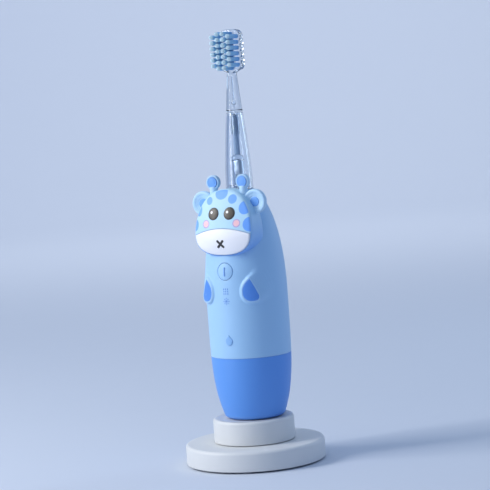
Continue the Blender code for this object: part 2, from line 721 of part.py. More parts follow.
def make_base_plate(finish):
    radius = BASE_RADIUS - BASE_WALL - GAP
    plate = add_piece("base_plate", rod(radius, PLATE_BOTTOM, PLATE_TOP, LARGE_SIDES), finish)
    head = SCREW_HEAD_INSET + SCREW_HEAD_HEIGHT + GAP
    profile = [
        (0, PLATE_BOTTOM - GAP),
        (SCREW_HEAD_RADIUS + RUNNING_GAP, PLATE_BOTTOM - GAP),
        (SCREW_HEAD_RADIUS + RUNNING_GAP, PLATE_BOTTOM + head),
        (SCREW_SHANK_RADIUS + GAP, PLATE_BOTTOM + head),
        (SCREW_SHANK_RADIUS + GAP, PLATE_TOP + GAP),
        (0, PLATE_TOP + GAP),
    ]
    hole = turned(profile, SMALL_SIDES)
    for angle in BASE_SCREW_ANGLES:
        cut(plate, hole, (*on_circle(BASE_RADIUS - BASE_SCREW_INSET, angle), 0))
    return plate


def make_feet(finish):
    profile = [(0, 0), (FOOT_RADIUS - FOOT_CHAMFER, 0), (FOOT_RADIUS, FOOT_CHAMFER)]
    profile += [(FOOT_RADIUS, FOOT_HEIGHT), (0, FOOT_HEIGHT)]
    foot = turned(profile, MIDDLE_SIDES)
    for number, angle in enumerate(FOOT_ANGLES, 1):
        place = (*on_circle(BASE_RADIUS - FOOT_INSET, angle), 0)
        add_piece(f"rubber_foot_{number}", foot, finish, location=place)


def make_screws(finish):
    base_screw = screw_mesh(PLATE_BOTTOM + SCREW_HEAD_INSET)
    for number, angle in enumerate(BASE_SCREW_ANGLES, 1):
        place = (*on_circle(BASE_RADIUS - BASE_SCREW_INSET, angle), 0)
        add_piece(f"base_screw_{number}", base_screw, finish, location=place)
    puck_screw = screw_mesh(BASE_ROOF - GAP - SCREW_HEAD_HEIGHT)
    for number, angle in enumerate(PUCK_SCREW_ANGLES, 1):
        place = (*on_circle(PUCK_SCREW_CIRCLE, angle), 0)
        add_piece(f"puck_screw_{number}", puck_screw, finish, location=place)


def make_ballast(finish):
    bottom = PLATE_TOP + BALLAST_LIFT
    top = bottom + BALLAST_THICKNESS
    profile = [(BALLAST_INNER, bottom), (BALLAST_OUTER, bottom)]
    profile += [(BALLAST_OUTER, top), (BALLAST_INNER, top)]
    half_ring = turned(profile, LARGE_SIDES, half=True)
    add_piece("ballast", half_ring, finish, rotation=(0, 0, pi))


def make_inlet(shell_finish, board_finish):
    """Low-voltage inlet, mounted in a notch of the charger's circuit board."""
    low, high = inlet_corners()
    inlet = add_piece("power_inlet", block(low, high), shell_finish)
    pocket_low = (low[0] + INLET_WALL, low[1] + INLET_BACK_WALL, low[2] + INLET_WALL)
    pocket_high = (high[0] - INLET_WALL, high[1] + GAP, high[2] - INLET_WALL)
    cut(inlet, block(pocket_low, pocket_high))
    middle = (low[2] + high[2]) / 2
    half = TONGUE_THICKNESS / 2
    tongue_low = (low[0] + TONGUE_INSET, low[1] + INLET_BACK_WALL / 2, middle - half)
    tongue_high = (high[0] - TONGUE_INSET, high[1] - TONGUE_RECESS, middle + half)
    join(inlet, block(tongue_low, tongue_high))

    notch_low, _ = inlet_corners(GAP)
    board_end = BASE_RADIUS - BASE_WALL - BOARD_CLEARANCE
    board_start = notch_low[1] - BOARD_LENGTH / 2
    half = BOARD_WIDTH / 2
    notch = -notch_low[0]
    outline = [(-half, board_start), (half, board_start), (half, board_end), (notch, board_end)]
    outline += [(notch, notch_low[1]), (-notch, notch_low[1])]
    outline += [(-notch, board_end), (-half, board_end)]
    bottom = middle - BOARD_THICKNESS / 2
    add_piece("charger_board", prism(outline, bottom, bottom + BOARD_THICKNESS), board_finish)


def make_puck(finish):
    """Raised pad with a shallow dish and the spigot that the handle drops onto."""
    inner = PUCK_RADIUS - PUCK_WALL
    edge = quarter((PUCK_RADIUS - PUCK_EDGE, PUCK_TOP - PUCK_EDGE), PUCK_EDGE, PUCK_EDGE, 90)
    profile = [(0, DISH_FLOOR), (DISH_RADIUS - DISH_DEPTH, DISH_FLOOR), (DISH_RADIUS, PUCK_TOP)]
    profile += edge
    profile += [(PUCK_RADIUS, PUCK_BOTTOM), (inner, PUCK_BOTTOM), (inner, DISH_ROOF), (0, DISH_ROOF)]
    puck = add_piece("charging_puck", turned(profile, LARGE_SIDES), finish)
    spigot_top = DISH_FLOOR + SPIGOT_HEIGHT
    spigot = [(0, DISH_ROOF + DISH_WALL / 2), (SPIGOT_RADIUS, DISH_ROOF + DISH_WALL / 2)]
    spigot += [(SPIGOT_RADIUS, spigot_top - SPIGOT_EDGE), (SPIGOT_RADIUS - SPIGOT_EDGE, spigot_top)]
    spigot += [(0, spigot_top)]
    join(puck, turned(spigot, MIDDLE_SIDES), (0, SETBACK, 0))
    boss = tube(
        SCREW_SHANK_RADIUS + GAP,
        PUCK_BOSS_RADIUS,
        PUCK_BOTTOM,
        DISH_ROOF + DISH_WALL / 2,
        SMALL_SIDES,
    )
    for angle in PUCK_SCREW_ANGLES:
        join(puck, boss, (*on_circle(PUCK_SCREW_CIRCLE, angle), 0))
    bore = rod(SPIGOT_RADIUS - SPIGOT_WALL, DISH_ROOF - GAP, spigot_top - SPIGOT_WALL)
    cut(puck, bore, (0, SETBACK, 0))
    return puck


def make_charging_coil(bobbin_finish, copper, ferrite):
    """Bobbin, winding and ferrite rod on the spigot's axis."""
    place = (0, SETBACK, 0)
    rod_radius = SPIGOT_RADIUS - SPIGOT_WALL - GAP
    rod_top = DISH_FLOOR + SPIGOT_HEIGHT - SPIGOT_WALL - GAP
    ferrite_rod = rod(rod_radius, PUCK_BOTTOM + FERRITE_LIFT, rod_top, SMALL_SIDES)
    add_piece("ferrite_rod", ferrite_rod, ferrite, location=place)

    bore = rod_radius + 2 * GAP
    core = bore + BOBBIN_WALL
    bottom = PUCK_BOTTOM + BOBBIN_LIFT
    top = bottom + BOBBIN_HEIGHT
    profile = [
        (bore, bottom),
        (BOBBIN_FLANGE_RADIUS, bottom),
        (BOBBIN_FLANGE_RADIUS, bottom + BOBBIN_WALL),
        (core, bottom + BOBBIN_WALL),
        (core, top - BOBBIN_WALL),
        (BOBBIN_FLANGE_RADIUS, top - BOBBIN_WALL),
        (BOBBIN_FLANGE_RADIUS, top),
        (bore, top),
    ]
    add_piece("coil_bobbin", turned(profile, MIDDLE_SIDES), bobbin_finish, location=place)
    winding = tube(
        core + GAP,
        BOBBIN_FLANGE_RADIUS - COIL_INSET,
        bottom + BOBBIN_WALL + GAP,
        top - BOBBIN_WALL - GAP,
    )
    add_piece("primary_coil", winding, copper, location=place)


# ------------------------------------------------------------------------------ handle shells

def make_base_cup(handle, finish):
    """Deep blue cup that closes the handle below and holds the charging socket."""
    edge_radius = handle_radius(BOTTOM_EDGE_HEIGHT)
    edge_centre = (edge_radius - BOTTOM_EDGE_WIDTH, BOTTOM_EDGE_HEIGHT)
    edge = quarter(edge_centre, BOTTOM_EDGE_WIDTH, BOTTOM_EDGE_HEIGHT, 0)
    top = SEAM_HEIGHT - GAP / 2
    heights = spread(BOTTOM_EDGE_HEIGHT, top, 5)
    inner_heights = spread(CUP_FLOOR, top, 4)
    profile = [(0, SOCKET_DEPTH), (SOCKET_RADIUS, SOCKET_DEPTH), (SOCKET_RADIUS, 0)]
    profile += reversed(edge)
    profile += [(handle_radius(height), height) for height in heights[1:]]
    profile += [(shell_inner_radius(height), height) for height in reversed(inner_heights)]
    profile += [(SOCKET_RADIUS + SOCKET_WALL, CUP_FLOOR), (SOCKET_RADIUS + SOCKET_WALL, SOCKET_TOP)]
    profile += [(0, SOCKET_TOP)]
    return add_piece("base_cup", turned(profile, LARGE_SIDES), finish, handle)


def place_on_arm(side):
    """Centre and rotation of an arm's bulge; its own +Z points out of the handle."""
    angle = radians(ARM_ANGLE) * side
    height = HANDLE_LENGTH - ARM_DEPTH
    radius = handle_radius(height) - ARM_SINK
    centre = (radius * sin(angle), -radius * cos(angle), height)
    return centre, (radians(90), 0, angle)


def make_sleeve(handle, finish):
    """Light blue outer sleeve, with the arms moulded on, slipped over the inner housing."""
    bottom = SEAM_HEIGHT + GAP / 2
    heights = spread(bottom, WIDEST_HEIGHT, 2)[:-1] + upper_heights(10)
    profile = [(0, bottom)]
    profile += [(handle_radius(height), height) for height in heights]
    profile += [(0, HANDLE_LENGTH)]
    sleeve = add_piece("sleeve", turned(profile, LARGE_SIDES), finish, handle)
    arm = ellipsoid((ARM_HALF_WIDTH, ARM_HALF_HEIGHT, ARM_BULGE), MIDDLE_SIDES, 10)
    for side in (-1, 1):
        centre, rotation = place_on_arm(side)
        join(sleeve, arm, centre, rotation)
    core = [(0, bottom - 2 * GAP), (shell_inner_radius(bottom), bottom - 2 * GAP)]
    core += [(shell_inner_radius(height), height) for height in upper_heights(INNER_STEPS)]
    core += [(shell_inner_radius(HANDLE_LENGTH), HANDLE_LENGTH + GAP), (0, HANDLE_LENGTH + GAP)]
    cut(sleeve, turned(core, LARGE_SIDES))
    for side in (-1, 1):
        centre, rotation = place_on_arm(side)
        pocket = plaque(paw_outline(side, GAP), arm_surface, PAW_THICKNESS + 3 * GAP, 2 * GAP)
        cut(sleeve, pocket, centre, rotation)
    depth = SLEEVE_WALL * 3
    reach = handle_radius(BUTTON_HEIGHT) + GAP
    hole = rod(BUTTON_RADIUS + GAP, reach - depth, reach + GAP, MIDDLE_SIDES)
    cut(sleeve, hole, (0, 0, BUTTON_HEIGHT), FORWARD)
    for lens_depth in LENS_DEPTHS:
        hole = rod(LENS_RADIUS + GAP, reach - depth, reach + 2 * GAP, SMALL_SIDES)
        cut(sleeve, hole, (0, 0, HANDLE_LENGTH - lens_depth), FORWARD)
    return sleeve


def make_paws_and_lenses(handle, patch_finish, lens_finish):
    for side, word in ((-1, "left"), (1, "right")):
        centre, rotation = place_on_arm(side)
        patch = plaque(paw_outline(side), arm_surface, PAW_THICKNESS, PAW_PROUD)
        add_piece(f"paw_patch_{word}", patch, patch_finish, handle, centre, rotation)
    for number, depth in enumerate(LENS_DEPTHS, 1):
        height = HANDLE_LENGTH - depth
        front = handle_radius(height)
        lens = rod(LENS_RADIUS, front - LENS_LENGTH, front, SMALL_SIDES)
        add_piece(f"indicator_lens_{number}", lens, lens_finish, handle, (0, 0, height), FORWARD)


def make_inner_housing(handle, finish):
    """Watertight shell behind the sleeve. It carries the works and the nose round the shaft."""
    roof = HANDLE_LENGTH - HOUSING_ROOF_DEPTH
    groove_low = O_RING_HEIGHT - O_RING_THICKNESS / 2 - GAP
    groove_high = O_RING_HEIGHT + O_RING_THICKNESS / 2 + GAP
    groove_radius = housing_radius(O_RING_HEIGHT) - O_RING_THICKNESS - GAP
    upper = upper_heights(INNER_STEPS)
    profile = [(housing_radius(HOUSING_BOTTOM), HOUSING_BOTTOM)]
    profile += [(housing_radius(groove_low), groove_low), (groove_radius, groove_low)]
    profile += [(groove_radius, groove_high), (housing_radius(groove_high), groove_high)]
    profile += [(housing_radius(height), height) for height in upper]
    profile += [(NOSE_BORE, HANDLE_LENGTH), (NOSE_BORE, roof)]
    inner = [height for height in upper if height < roof] + [roof]
    profile += [(housing_radius(height) - HOUSING_WALL, height) for height in reversed(inner)]
    profile += [(housing_radius(HOUSING_BOTTOM) - HOUSING_WALL, HOUSING_BOTTOM)]
    housing = add_piece("inner_housing", turned(profile, LARGE_SIDES), finish, handle)
    depth = HOUSING_WALL * 2
    reach = housing_radius(BUTTON_HEIGHT) + GAP
    hole = rod(BUTTON_STEM_RADIUS + RUNNING_GAP, reach - depth, reach + GAP)
    cut(housing, hole, (0, 0, BUTTON_HEIGHT), FORWARD)


def make_seals(handle, finish):
    outer = housing_radius(O_RING_HEIGHT)
    middle = outer - O_RING_THICKNESS / 2
    half = O_RING_THICKNESS / 2
    ring = []
    for i in range(O_RING_SIDES):
        angle = 2 * pi * i / O_RING_SIDES
        ring.append((middle + half * cos(angle), O_RING_HEIGHT + half * sin(angle)))
    add_piece("o_ring", turned(ring, LARGE_SIDES), finish, handle)
    top = HANDLE_LENGTH - SEAL_DEPTH
    bottom = top - SEAL_LENGTH
    lip = [
        (SHAFT_RADIUS + GAP, bottom),
        (NOSE_BORE - GAP, bottom),
        (NOSE_BORE - GAP, top),
        (SHAFT_RADIUS + 2 * GAP, top),
        (SHAFT_RADIUS + 2 * GAP, bottom + SEAL_LIP_LENGTH + SEAL_LIP_TAPER),
        (SHAFT_RADIUS + GAP, bottom + SEAL_LIP_LENGTH),
    ]
    add_piece("top_seal", turned(lip, MIDDLE_SIDES), finish, handle)


# ------------------------------------------------------------------------------- handle works

def make_receiver_coil(handle, finish):
    inner = SOCKET_RADIUS + SOCKET_WALL + RUNNING_GAP
    bottom = CUP_FLOOR + GAP
    coil = tube(inner, inner + RECEIVER_WIDTH, bottom, bottom + RECEIVER_HEIGHT)
    add_piece("receiver_coil", coil, finish, handle)


def make_chassis(handle, finish):
    """Half-shell behind the battery and motor, with a floor and a partition between them."""
    bottom = CHASSIS_BOTTOM
    top = MOTOR_TOP + CHASSIS_WALL / 2
    profile = [(CHASSIS_INNER, bottom), (CHASSIS_OUTER, bottom), (CHASSIS_OUTER, top)]
    profile += [(CHASSIS_INNER, top)]
    chassis = add_piece("chassis", turned(profile, LARGE_SIDES, half=True), finish, handle)
    floor = rod(CHASSIS_OUTER + CHASSIS_FLANGE, bottom - GAP, bottom + CHASSIS_FLOOR, MIDDLE_SIDES)
    join(chassis, floor)
    middle = CHASSIS_INNER + CHASSIS_WALL / 2
    to_side, to_front, to_back = [middle * reach for reach in PARTITION_REACH]
    partition_low = (-to_side, -to_front, PARTITION_BOTTOM)
    partition_high = (to_side, to_back, PARTITION_TOP)
    join(chassis, block(partition_low, partition_high))


def make_battery(handle, finish):
    profile = [
        (0, BATTERY_BOTTOM),
        (BATTERY_RADIUS, BATTERY_BOTTOM),
        (BATTERY_RADIUS, BATTERY_TOP),
        (BATTERY_NUB_RADIUS, BATTERY_TOP),
        (BATTERY_NUB_RADIUS, BATTERY_TOP + BATTERY_NUB_HEIGHT),
        (0, BATTERY_TOP + BATTERY_NUB_HEIGHT),
    ]
    add_piece("battery_cell", turned(profile, MIDDLE_SIDES), finish, handle)


def make_motor(handle, steel, copper, bearing_finish):
    """Can, stator winding and two bearings; the rotor belongs to the shaft."""
    hole = BEARING_OUTER + GAP
    inner = MOTOR_RADIUS - MOTOR_WALL
    profile = [
        (hole, MOTOR_BOTTOM),
        (MOTOR_RADIUS, MOTOR_BOTTOM),
        (MOTOR_RADIUS, MOTOR_TOP),
        (hole, MOTOR_TOP),
        (hole, MOTOR_TOP - MOTOR_WALL),
        (inner, MOTOR_TOP - MOTOR_WALL),
        (inner, MOTOR_BOTTOM + MOTOR_WALL),
        (hole, MOTOR_BOTTOM + MOTOR_WALL),
    ]
    add_piece("motor_can", turned(profile, MIDDLE_SIDES), steel, handle)
    middle = (MOTOR_BOTTOM + MOTOR_TOP) / 2
    stator_outer = inner - GAP
    half = STATOR_LENGTH / 2
    stator = tube(stator_outer - STATOR_WALL, stator_outer, middle - half, middle + half)
    add_piece("stator_coil", stator, copper, handle)
    lower = tube(BEARING_INNER, BEARING_OUTER, MOTOR_BOTTOM, MOTOR_BOTTOM + BEARING_HEIGHT)
    upper = tube(BEARING_INNER, BEARING_OUTER, MOTOR_TOP - BEARING_HEIGHT, MOTOR_TOP)
    add_piece("lower_bearing", lower, bearing_finish, handle)
    add_piece("upper_bearing", upper, bearing_finish, handle)


def make_main_board(handle, board_finish, switch_finish, led_finish):
    """Circuit board in front of the motor, with its switch behind the button and two LEDs."""
    half = MAIN_BOARD_WIDTH / 2
    top = BUTTON_HEIGHT + MAIN_BOARD_ABOVE_BUTTON
    board = block((-half, -BOARD_FRONT, top - MAIN_BOARD_LENGTH), (half, -BOARD_BACK, top))
    add_piece("circuit_board", board, board_finish, handle)
    half = SWITCH_SIZE / 2
    switch_low = (-half, -SWITCH_FRONT, BUTTON_HEIGHT - half)
    switch_high = (half, -SWITCH_BACK, BUTTON_HEIGHT + half)
    add_piece("tact_switch", block(switch_low, switch_high), switch_finish, handle)
    half = LED_SIZE / 2
    for number, depth in enumerate(LENS_DEPTHS, 1):
        height = HANDLE_LENGTH - depth
        led_low = (-half, -SWITCH_BACK - LED_DEPTH, height - half)
        led_high = (half, -SWITCH_BACK, height + half)
        add_piece(f"led_{number}", block(led_low, led_high), led_finish, handle)


# --------------------------------------------------------------------------------- power button

def make_button(handle, cap_finish, plunger_finish):
    """Round button with a raised bar; its stem goes through the housing to the switch."""
    front = handle_radius(BUTTON_HEIGHT) + BUTTON_PROUD
    frame = add_frame("button_frame", handle, (0, 0, BUTTON_HEIGHT), FORWARD)
    back = front - BUTTON_THICKNESS
    profile = [
        (0, PLUNGER_FRONT + GAP),
        (BUTTON_STEM_RADIUS, PLUNGER_FRONT + GAP),
        (BUTTON_STEM_RADIUS, back),
        (BUTTON_RADIUS, back),
        (BUTTON_RADIUS, front - BUTTON_EDGE),
        (BUTTON_RADIUS - BUTTON_EDGE, front),
        (0, front),
    ]
    button = add_piece("power_button", turned(profile, MIDDLE_SIDES), cap_finish, frame)
    half_width, half_length = BUTTON_BAR_WIDTH / 2, BUTTON_BAR_LENGTH / 2
    bar = block(
        (-half_width, -half_length, front - BUTTON_PROUD),
        (half_width, half_length, front + BUTTON_BAR_PROUD),
    )
    join(button, bar)
    plunger = rod(PLUNGER_RADIUS, PLUNGER_BACK, PLUNGER_FRONT)
    add_piece("switch_plunger", plunger, plunger_finish, frame)


# ------------------------------------------------------------------------------ giraffe's head

def face_inset(x, y, share):
    return face_front(x, y) - HEAD_EDGE * share


def make_face_shell(face, handle_volume, finish):
    """Hollow moulded head. Its open back is shaped to the front of the sleeve."""
    outline = head_outline(0)
    rings = [[(x, y, HEAD_BACK) for x, y in outline]]
    for angle in spread(0, 90, 3):
        inset = HEAD_EDGE * (1 - cos(radians(angle)))
        share = 1 - sin(radians(angle))
        rings.append([(x, y, face_inset(x, y, share)) for x, y in head_outline(inset)])
    inner_scale = 1 - HEAD_EDGE / HEAD_DROP
    for scale in HEAD_RINGS:
        ring = head_outline(0, scale=scale * inner_scale)
        rings.append([(x, y, face_front(x, y)) for x, y in ring])
    shell = add_piece("face_shell", loft(rings), finish, face)

    hollow = [[(x, y, HEAD_BACK + HEAD_WALL) for x, y in head_outline(HEAD_WALL)]]
    for scale in HEAD_INNER_RINGS:
        ring = head_outline(HEAD_WALL, scale=scale)
        hollow.append([(x, y, face_front(x, y) - HEAD_WALL) for x, y in ring])
    cut(shell, loft(hollow))
    cut(shell, handle_volume, (0, -face.location.z, 0), (radians(-90), 0, 0))
    muzzle_pocket = plaque(muzzle_outline(GAP), face_front, MUZZLE_THICKNESS + 3 * GAP, 3 * GAP)
    cut(shell, muzzle_pocket)
    for side in (-1, 1):
        place = (side * EYE_SPACING / 2, EYE_HEIGHT)
        outline = disc_outline(EYE_RADIUS + GAP, centre=place)
        depth = EYE_THICKNESS + EYE_PROUD + 2 * GAP
        cut(shell, plaque(outline, face_front, depth, EYE_PROUD + GAP))
    return shell


def make_face_details(face, muzzle_finish, eye_finish):
    muzzle = plaque(muzzle_outline(), face_front, MUZZLE_THICKNESS, MUZZLE_PROUD)
    add_piece("muzzle", muzzle, muzzle_finish, face)
    for side, word in ((-1, "left"), (1, "right")):
        centre = (side * EYE_SPACING / 2, EYE_HEIGHT)

        def eye_surface(x, y, centre=centre):
            share = hypot(x - centre[0], y - centre[1]) / EYE_RADIUS
            return face_front(x, y) + EYE_PROUD * (1 - share ** 2)

        outline = disc_outline(EYE_RADIUS, centre=centre)
        eye = plaque(outline, eye_surface, EYE_THICKNESS)
        add_piece(f"eye_{word}", eye, eye_finish, face)


def ear_mesh():
    """Round ear with a thick rim and a dished middle."""
    back = EAR_FRONT - EAR_THICKNESS
    flat = EAR_RADIUS - EAR_EDGE_WIDTH
    profile = [
        (0, back),
        (flat, back),
        (EAR_RADIUS, back + EAR_EDGE_HEIGHT),
        (EAR_RADIUS, EAR_FRONT - EAR_EDGE_HEIGHT),
        (flat, EAR_FRONT),
        (EAR_RADIUS - EAR_RIM, EAR_FRONT),
        (EAR_DISH_RADIUS, EAR_FRONT - EAR_DISH),
        (0, EAR_FRONT - EAR_DISH),
    ]
    return turned(profile, EAR_SIDES)


def make_ears(face, head_volume, handle_volume, ear_finish, patch_finish):
    ear = ear_mesh()
    patch_back = EAR_FRONT - EAR_DISH + GAP
    for side, word in ((-1, "left"), (1, "right")):
        centre = (side * (head_half_width(EAR_HEIGHT) + EAR_OFFSET), EAR_HEIGHT, 0)
        away = (-centre[0], -centre[1], 0)
        piece = add_piece(f"ear_{word}", ear, ear_finish, face, centre)
        cut(piece, head_volume, away)
        cut(piece, handle_volume, (away[0], away[1] - face.location.z, 0), (radians(-90), 0, 0))
        disc = rod(EAR_PATCH_RADIUS, patch_back, patch_back + EAR_PATCH_THICKNESS, MIDDLE_SIDES)
        patch = add_piece(f"ear_patch_{word}", disc, patch_finish, face, centre)
        cut(patch, head_volume, away)


def make_horns(face, head_volume, horn_finish, cap_finish):
    back = HORN_FRONT - HORN_THICKNESS
    rim = HORN_CAP_RADIUS + GAP
    profile = [
        (0, back),
        (HORN_RADIUS - HORN_EDGE, back),
        (HORN_RADIUS, back + HORN_EDGE),
        (HORN_RADIUS, HORN_FRONT - HORN_EDGE / 2),
        (HORN_RADIUS - HORN_EDGE / 2, HORN_FRONT),
        (rim, HORN_FRONT),
        (rim, HORN_FRONT - HORN_POCKET),
        (0, HORN_FRONT - HORN_POCKET),
    ]
    height = head_crown(HORN_SPACING / 2) + HORN_LIFT
    stem_length = HORN_LIFT + 2 * HORN_STEM_RADIUS
    cap_back = HORN_FRONT - HORN_POCKET + GAP
    for side, word in ((-1, "left"), (1, "right")):
        centre = (side * HORN_SPACING / 2, height, 0)
        away = (-centre[0], -centre[1], 0)
        horn = add_piece(f"horn_{word}", turned(profile, MIDDLE_SIDES), horn_finish, face, centre)
        stem = rod(HORN_STEM_RADIUS, (HORN_CAP_RADIUS + HORN_RADIUS) / 2, stem_length)
        join(horn, stem, (0, 0, back + HORN_THICKNESS / 2), (radians(90), 0, 0))
        cut(horn, head_volume, away)
        cap = rod(HORN_CAP_RADIUS, cap_back, cap_back + HORN_CAP_THICKNESS, MIDDLE_SIDES)
        add_piece(f"horn_cap_{word}", cap, cap_finish, face, centre)


def make_head(handle, finishes):
    face = add_frame("face_frame", handle, (0, 0, HANDLE_LENGTH - HEAD_DEPTH), FORWARD)
    heights = spread(SEAM_HEIGHT, WIDEST_HEIGHT, 2)[:-1] + upper_heights(10)
    profile = [(0, SEAM_HEIGHT)]
    profile += [(handle_radius(height) + GAP, height) for height in heights]
    profile += [(handle_radius(HANDLE_LENGTH) + GAP, HANDLE_LENGTH + GAP), (0, HANDLE_LENGTH + GAP)]
    handle_volume = turned(profile, LARGE_SIDES)
    head_volume = prism(head_outline(-GAP), 0, HEAD_FRONT * 2)
    make_face_shell(face, handle_volume, finishes["face_blue"])
    make_face_details(face, finishes["muzzle_white"], finishes["eye_brown"])
    make_ears(face, head_volume, handle_volume, finishes["face_blue"], finishes["deep_blue"])
    make_horns(face, head_volume, finishes["face_blue"], finishes["deep_blue"])


# ------------------------------------------------------------------------- shaft and brush head

def make_shaft(shaft, steel, magnet_finish):
    """Drive shaft with a flat on its end, and the magnet rotor on it inside the motor."""
    bottom = MOTOR_BOTTOM + GAP
    top = HANDLE_LENGTH + SHAFT_REACH
    drive = add_piece("drive_shaft", rod(SHAFT_RADIUS, bottom, top, MIDDLE_SIDES), steel, shaft)
    flat_low = (-SHAFT_RADIUS, -2 * SHAFT_RADIUS, HANDLE_LENGTH + SHAFT_FLAT_START)
    flat_high = (SHAFT_RADIUS, -SHAFT_RADIUS + SHAFT_FLAT_DEPTH, top + GAP)
    cut(drive, block(flat_low, flat_high))
    inner = SHAFT_RADIUS + GAP
    middle = (MOTOR_BOTTOM + MOTOR_TOP) / 2
    half = ROTOR_LENGTH / 2
    rotor = tube(inner, inner + ROTOR_WALL, middle - half, middle + half)
    add_piece("rotor_magnet", rotor, magnet_finish, shaft)


def make_neck(brush, clear):
    """Clear tapered neck that slides down over the shaft."""
    heights = spread(NECK_BOTTOM, NECK_TOP, 5)
    inner_heights = spread(NECK_BOTTOM, NECK_TOP, 4)
    profile = [(neck_radius(height), height) for height in heights]
    profile += [(neck_radius(height) - NECK_WALL, height) for height in reversed(inner_heights)]
    add_piece("neck_sleeve", turned(profile, MIDDLE_SIDES), clear, brush)


def make_coupler(brush, finish):
    """Tube that grips the shaft inside the clear neck, with a rod up to the brush head's peg."""
    flange_top = COUPLER_LIFT + COUPLER_FLANGE_THICKNESS
    flange_radius = neck_radius(flange_top) - NECK_WALL - RUNNING_GAP
    profile = [
        (0, COUPLER_BORE_TOP),
        (COUPLER_BORE, COUPLER_BORE_TOP),
        (COUPLER_BORE, COUPLER_LIFT),
        (flange_radius, COUPLER_LIFT),
        (flange_radius, flange_top),
        (COUPLER_RADIUS, flange_top),
        (COUPLER_RADIUS, COUPLER_TUBE_TOP - COUPLER_ROUNDING),
        (PEG_RADIUS, COUPLER_TUBE_TOP),
        (PEG_RADIUS, PEG_BOTTOM - GAP),
        (0, PEG_BOTTOM - GAP),
    ]
    add_piece("shaft_socket", turned(profile, MIDDLE_SIDES), finish, brush)


def make_brush_head(brush, clear):
    """Clear stem and bristle plate, moulded in one with the peg that plugs into the neck."""
    stem_middle = (HEAD_BASE + STEM_TOP) / 2
    middle_radius = (NECK_TOP_RADIUS + STEM_TOP_RADIUS) / 2
    profile = [
        (0, PEG_BOTTOM),
        (PEG_RADIUS, PEG_BOTTOM),
        (PEG_RADIUS, HEAD_BASE),
        (NECK_TOP_RADIUS, HEAD_BASE),
        (middle_radius, stem_middle),
        (STEM_TOP_RADIUS, STEM_TOP),
        (STEM_TOP_RADIUS - STEM_ROOT_TAPER, STEM_TOP + STEM_ROOT),
        (0, STEM_TOP + STEM_ROOT),
    ]
    body = add_piece("brush_head_body", turned(profile, MIDDLE_SIDES), clear, brush)
    rings = [
        [(x, z, -PLATE_BACK) for x, z in plate_outline(PLATE_BACK_INSET)],
        [(x, z, -PLATE_BACK + PLATE_EDGE) for x, z in plate_outline(PLATE_EDGE / 2)],
        [(x, z, -PLATE_BACK + 2 * PLATE_EDGE) for x, z in plate_outline(0)],
        [(x, z, PLATE_FRONT - PLATE_EDGE / 2) for x, z in plate_outline(0)],
        [(x, z, PLATE_FRONT) for x, z in plate_outline(PLATE_EDGE / 2)],
    ]
    centre = (0, 0, STEM_TOP + PLATE_LENGTH / 2)
    join(body, loft(rings), centre, FORWARD)
    floor = PLATE_FRONT - CARRIER_DEPTH - GAP
    pocket = prism(plate_outline(CARRIER_INSET - GAP), floor, PLATE_FRONT + NECK_RADIUS)
    cut(body, pocket, centre, FORWARD)


def tuft_places():
    """Columns of tufts, each centred on the plate, so that unlike columns are staggered."""
    places = []
    for column, rows in TUFT_COLUMNS.items():
        for row in range(rows):
            places.append((column * TUFT_PITCH, (row - (rows - 1) / 2) * TUFT_PITCH))
    return places


def make_bristles(brush, finish):
    """Carrier plate with every tuft standing on it."""
    back = PLATE_FRONT - CARRIER_DEPTH
    tip = PLATE_FRONT + TUFT_LENGTH
    centre = (0, 0, STEM_TOP + PLATE_LENGTH / 2)
    carrier = prism(plate_outline(CARRIER_INSET), back, PLATE_FRONT)
    block_piece = add_piece("bristle_block", carrier, finish, brush, centre, FORWARD)
    bm = bmesh.new()
    for x, y in tuft_places():
        loops = []
        for radius, z in ((TUFT_RADIUS, back + CARRIER_DEPTH / 2), (TUFT_TIP_RADIUS, tip)):
            ring = disc_outline(radius, TUFT_SIDES, (x, y))
            loops.append([bm.verts.new((u, v, z)) for u, v in ring])
        for low, high in zip(loops, loops[1:]):
            for i in range(TUFT_SIDES):
                bm.faces.new((low[i - 1], low[i], high[i], high[i - 1]))
        bm.faces.new(loops[0])
        bm.faces.new(loops[-1])
    join(block_piece, finished(bm))


# -------------------------------------------------------------------------------------- build

def build():
    clear_scene()
    finishes = {name: make_finish(name) for name in FINISHES}

    make_base_shell(finishes["charger_white"])
    make_base_plate(finishes["charger_white"])
    make_feet(finishes["rubber_grey"])
    make_screws(finishes["steel"])
    make_ballast(finishes["iron_ballast"])
    make_inlet(finishes["steel"], finishes["board_green"])
    make_puck(finishes["charger_white"])
    make_charging_coil(finishes["chassis_grey"], finishes["copper"], finishes["ferrite"])

    handle = add_frame("handle_frame", location=(0, SETBACK, HANDLE_BOTTOM))
    make_base_cup(handle, finishes["deep_blue"])
    make_sleeve(handle, finishes["sleeve_blue"])
    make_paws_and_lenses(handle, finishes["deep_blue"], finishes["lens_clear"])
    make_inner_housing(handle, finishes["housing_white"])
    make_seals(handle, finishes["seal_rubber"])
    make_receiver_coil(handle, finishes["copper"])
    make_chassis(handle, finishes["chassis_grey"])
    make_battery(handle, finishes["cell_wrap"])
    make_motor(handle, finishes["steel"], finishes["copper"], finishes["steel"])
    make_main_board(
        handle, finishes["board_green"], finishes["switch_black"], finishes["led_white"]
    )
    make_button(handle, finishes["sleeve_blue"], finishes["switch_black"])
    make_head(handle, finishes)

    shaft = add_frame("shaft_frame", handle)
    make_shaft(shaft, finishes["steel"], finishes["ferrite"])
    brush = add_frame("brush_frame", shaft, (0, 0, HANDLE_LENGTH))
    make_neck(brush, finishes["clear_plastic"])
    make_coupler(brush, finishes["deep_blue"])
    make_brush_head(brush, finishes["clear_plastic"])
    make_bristles(brush, finishes["bristle_blue"])


build()
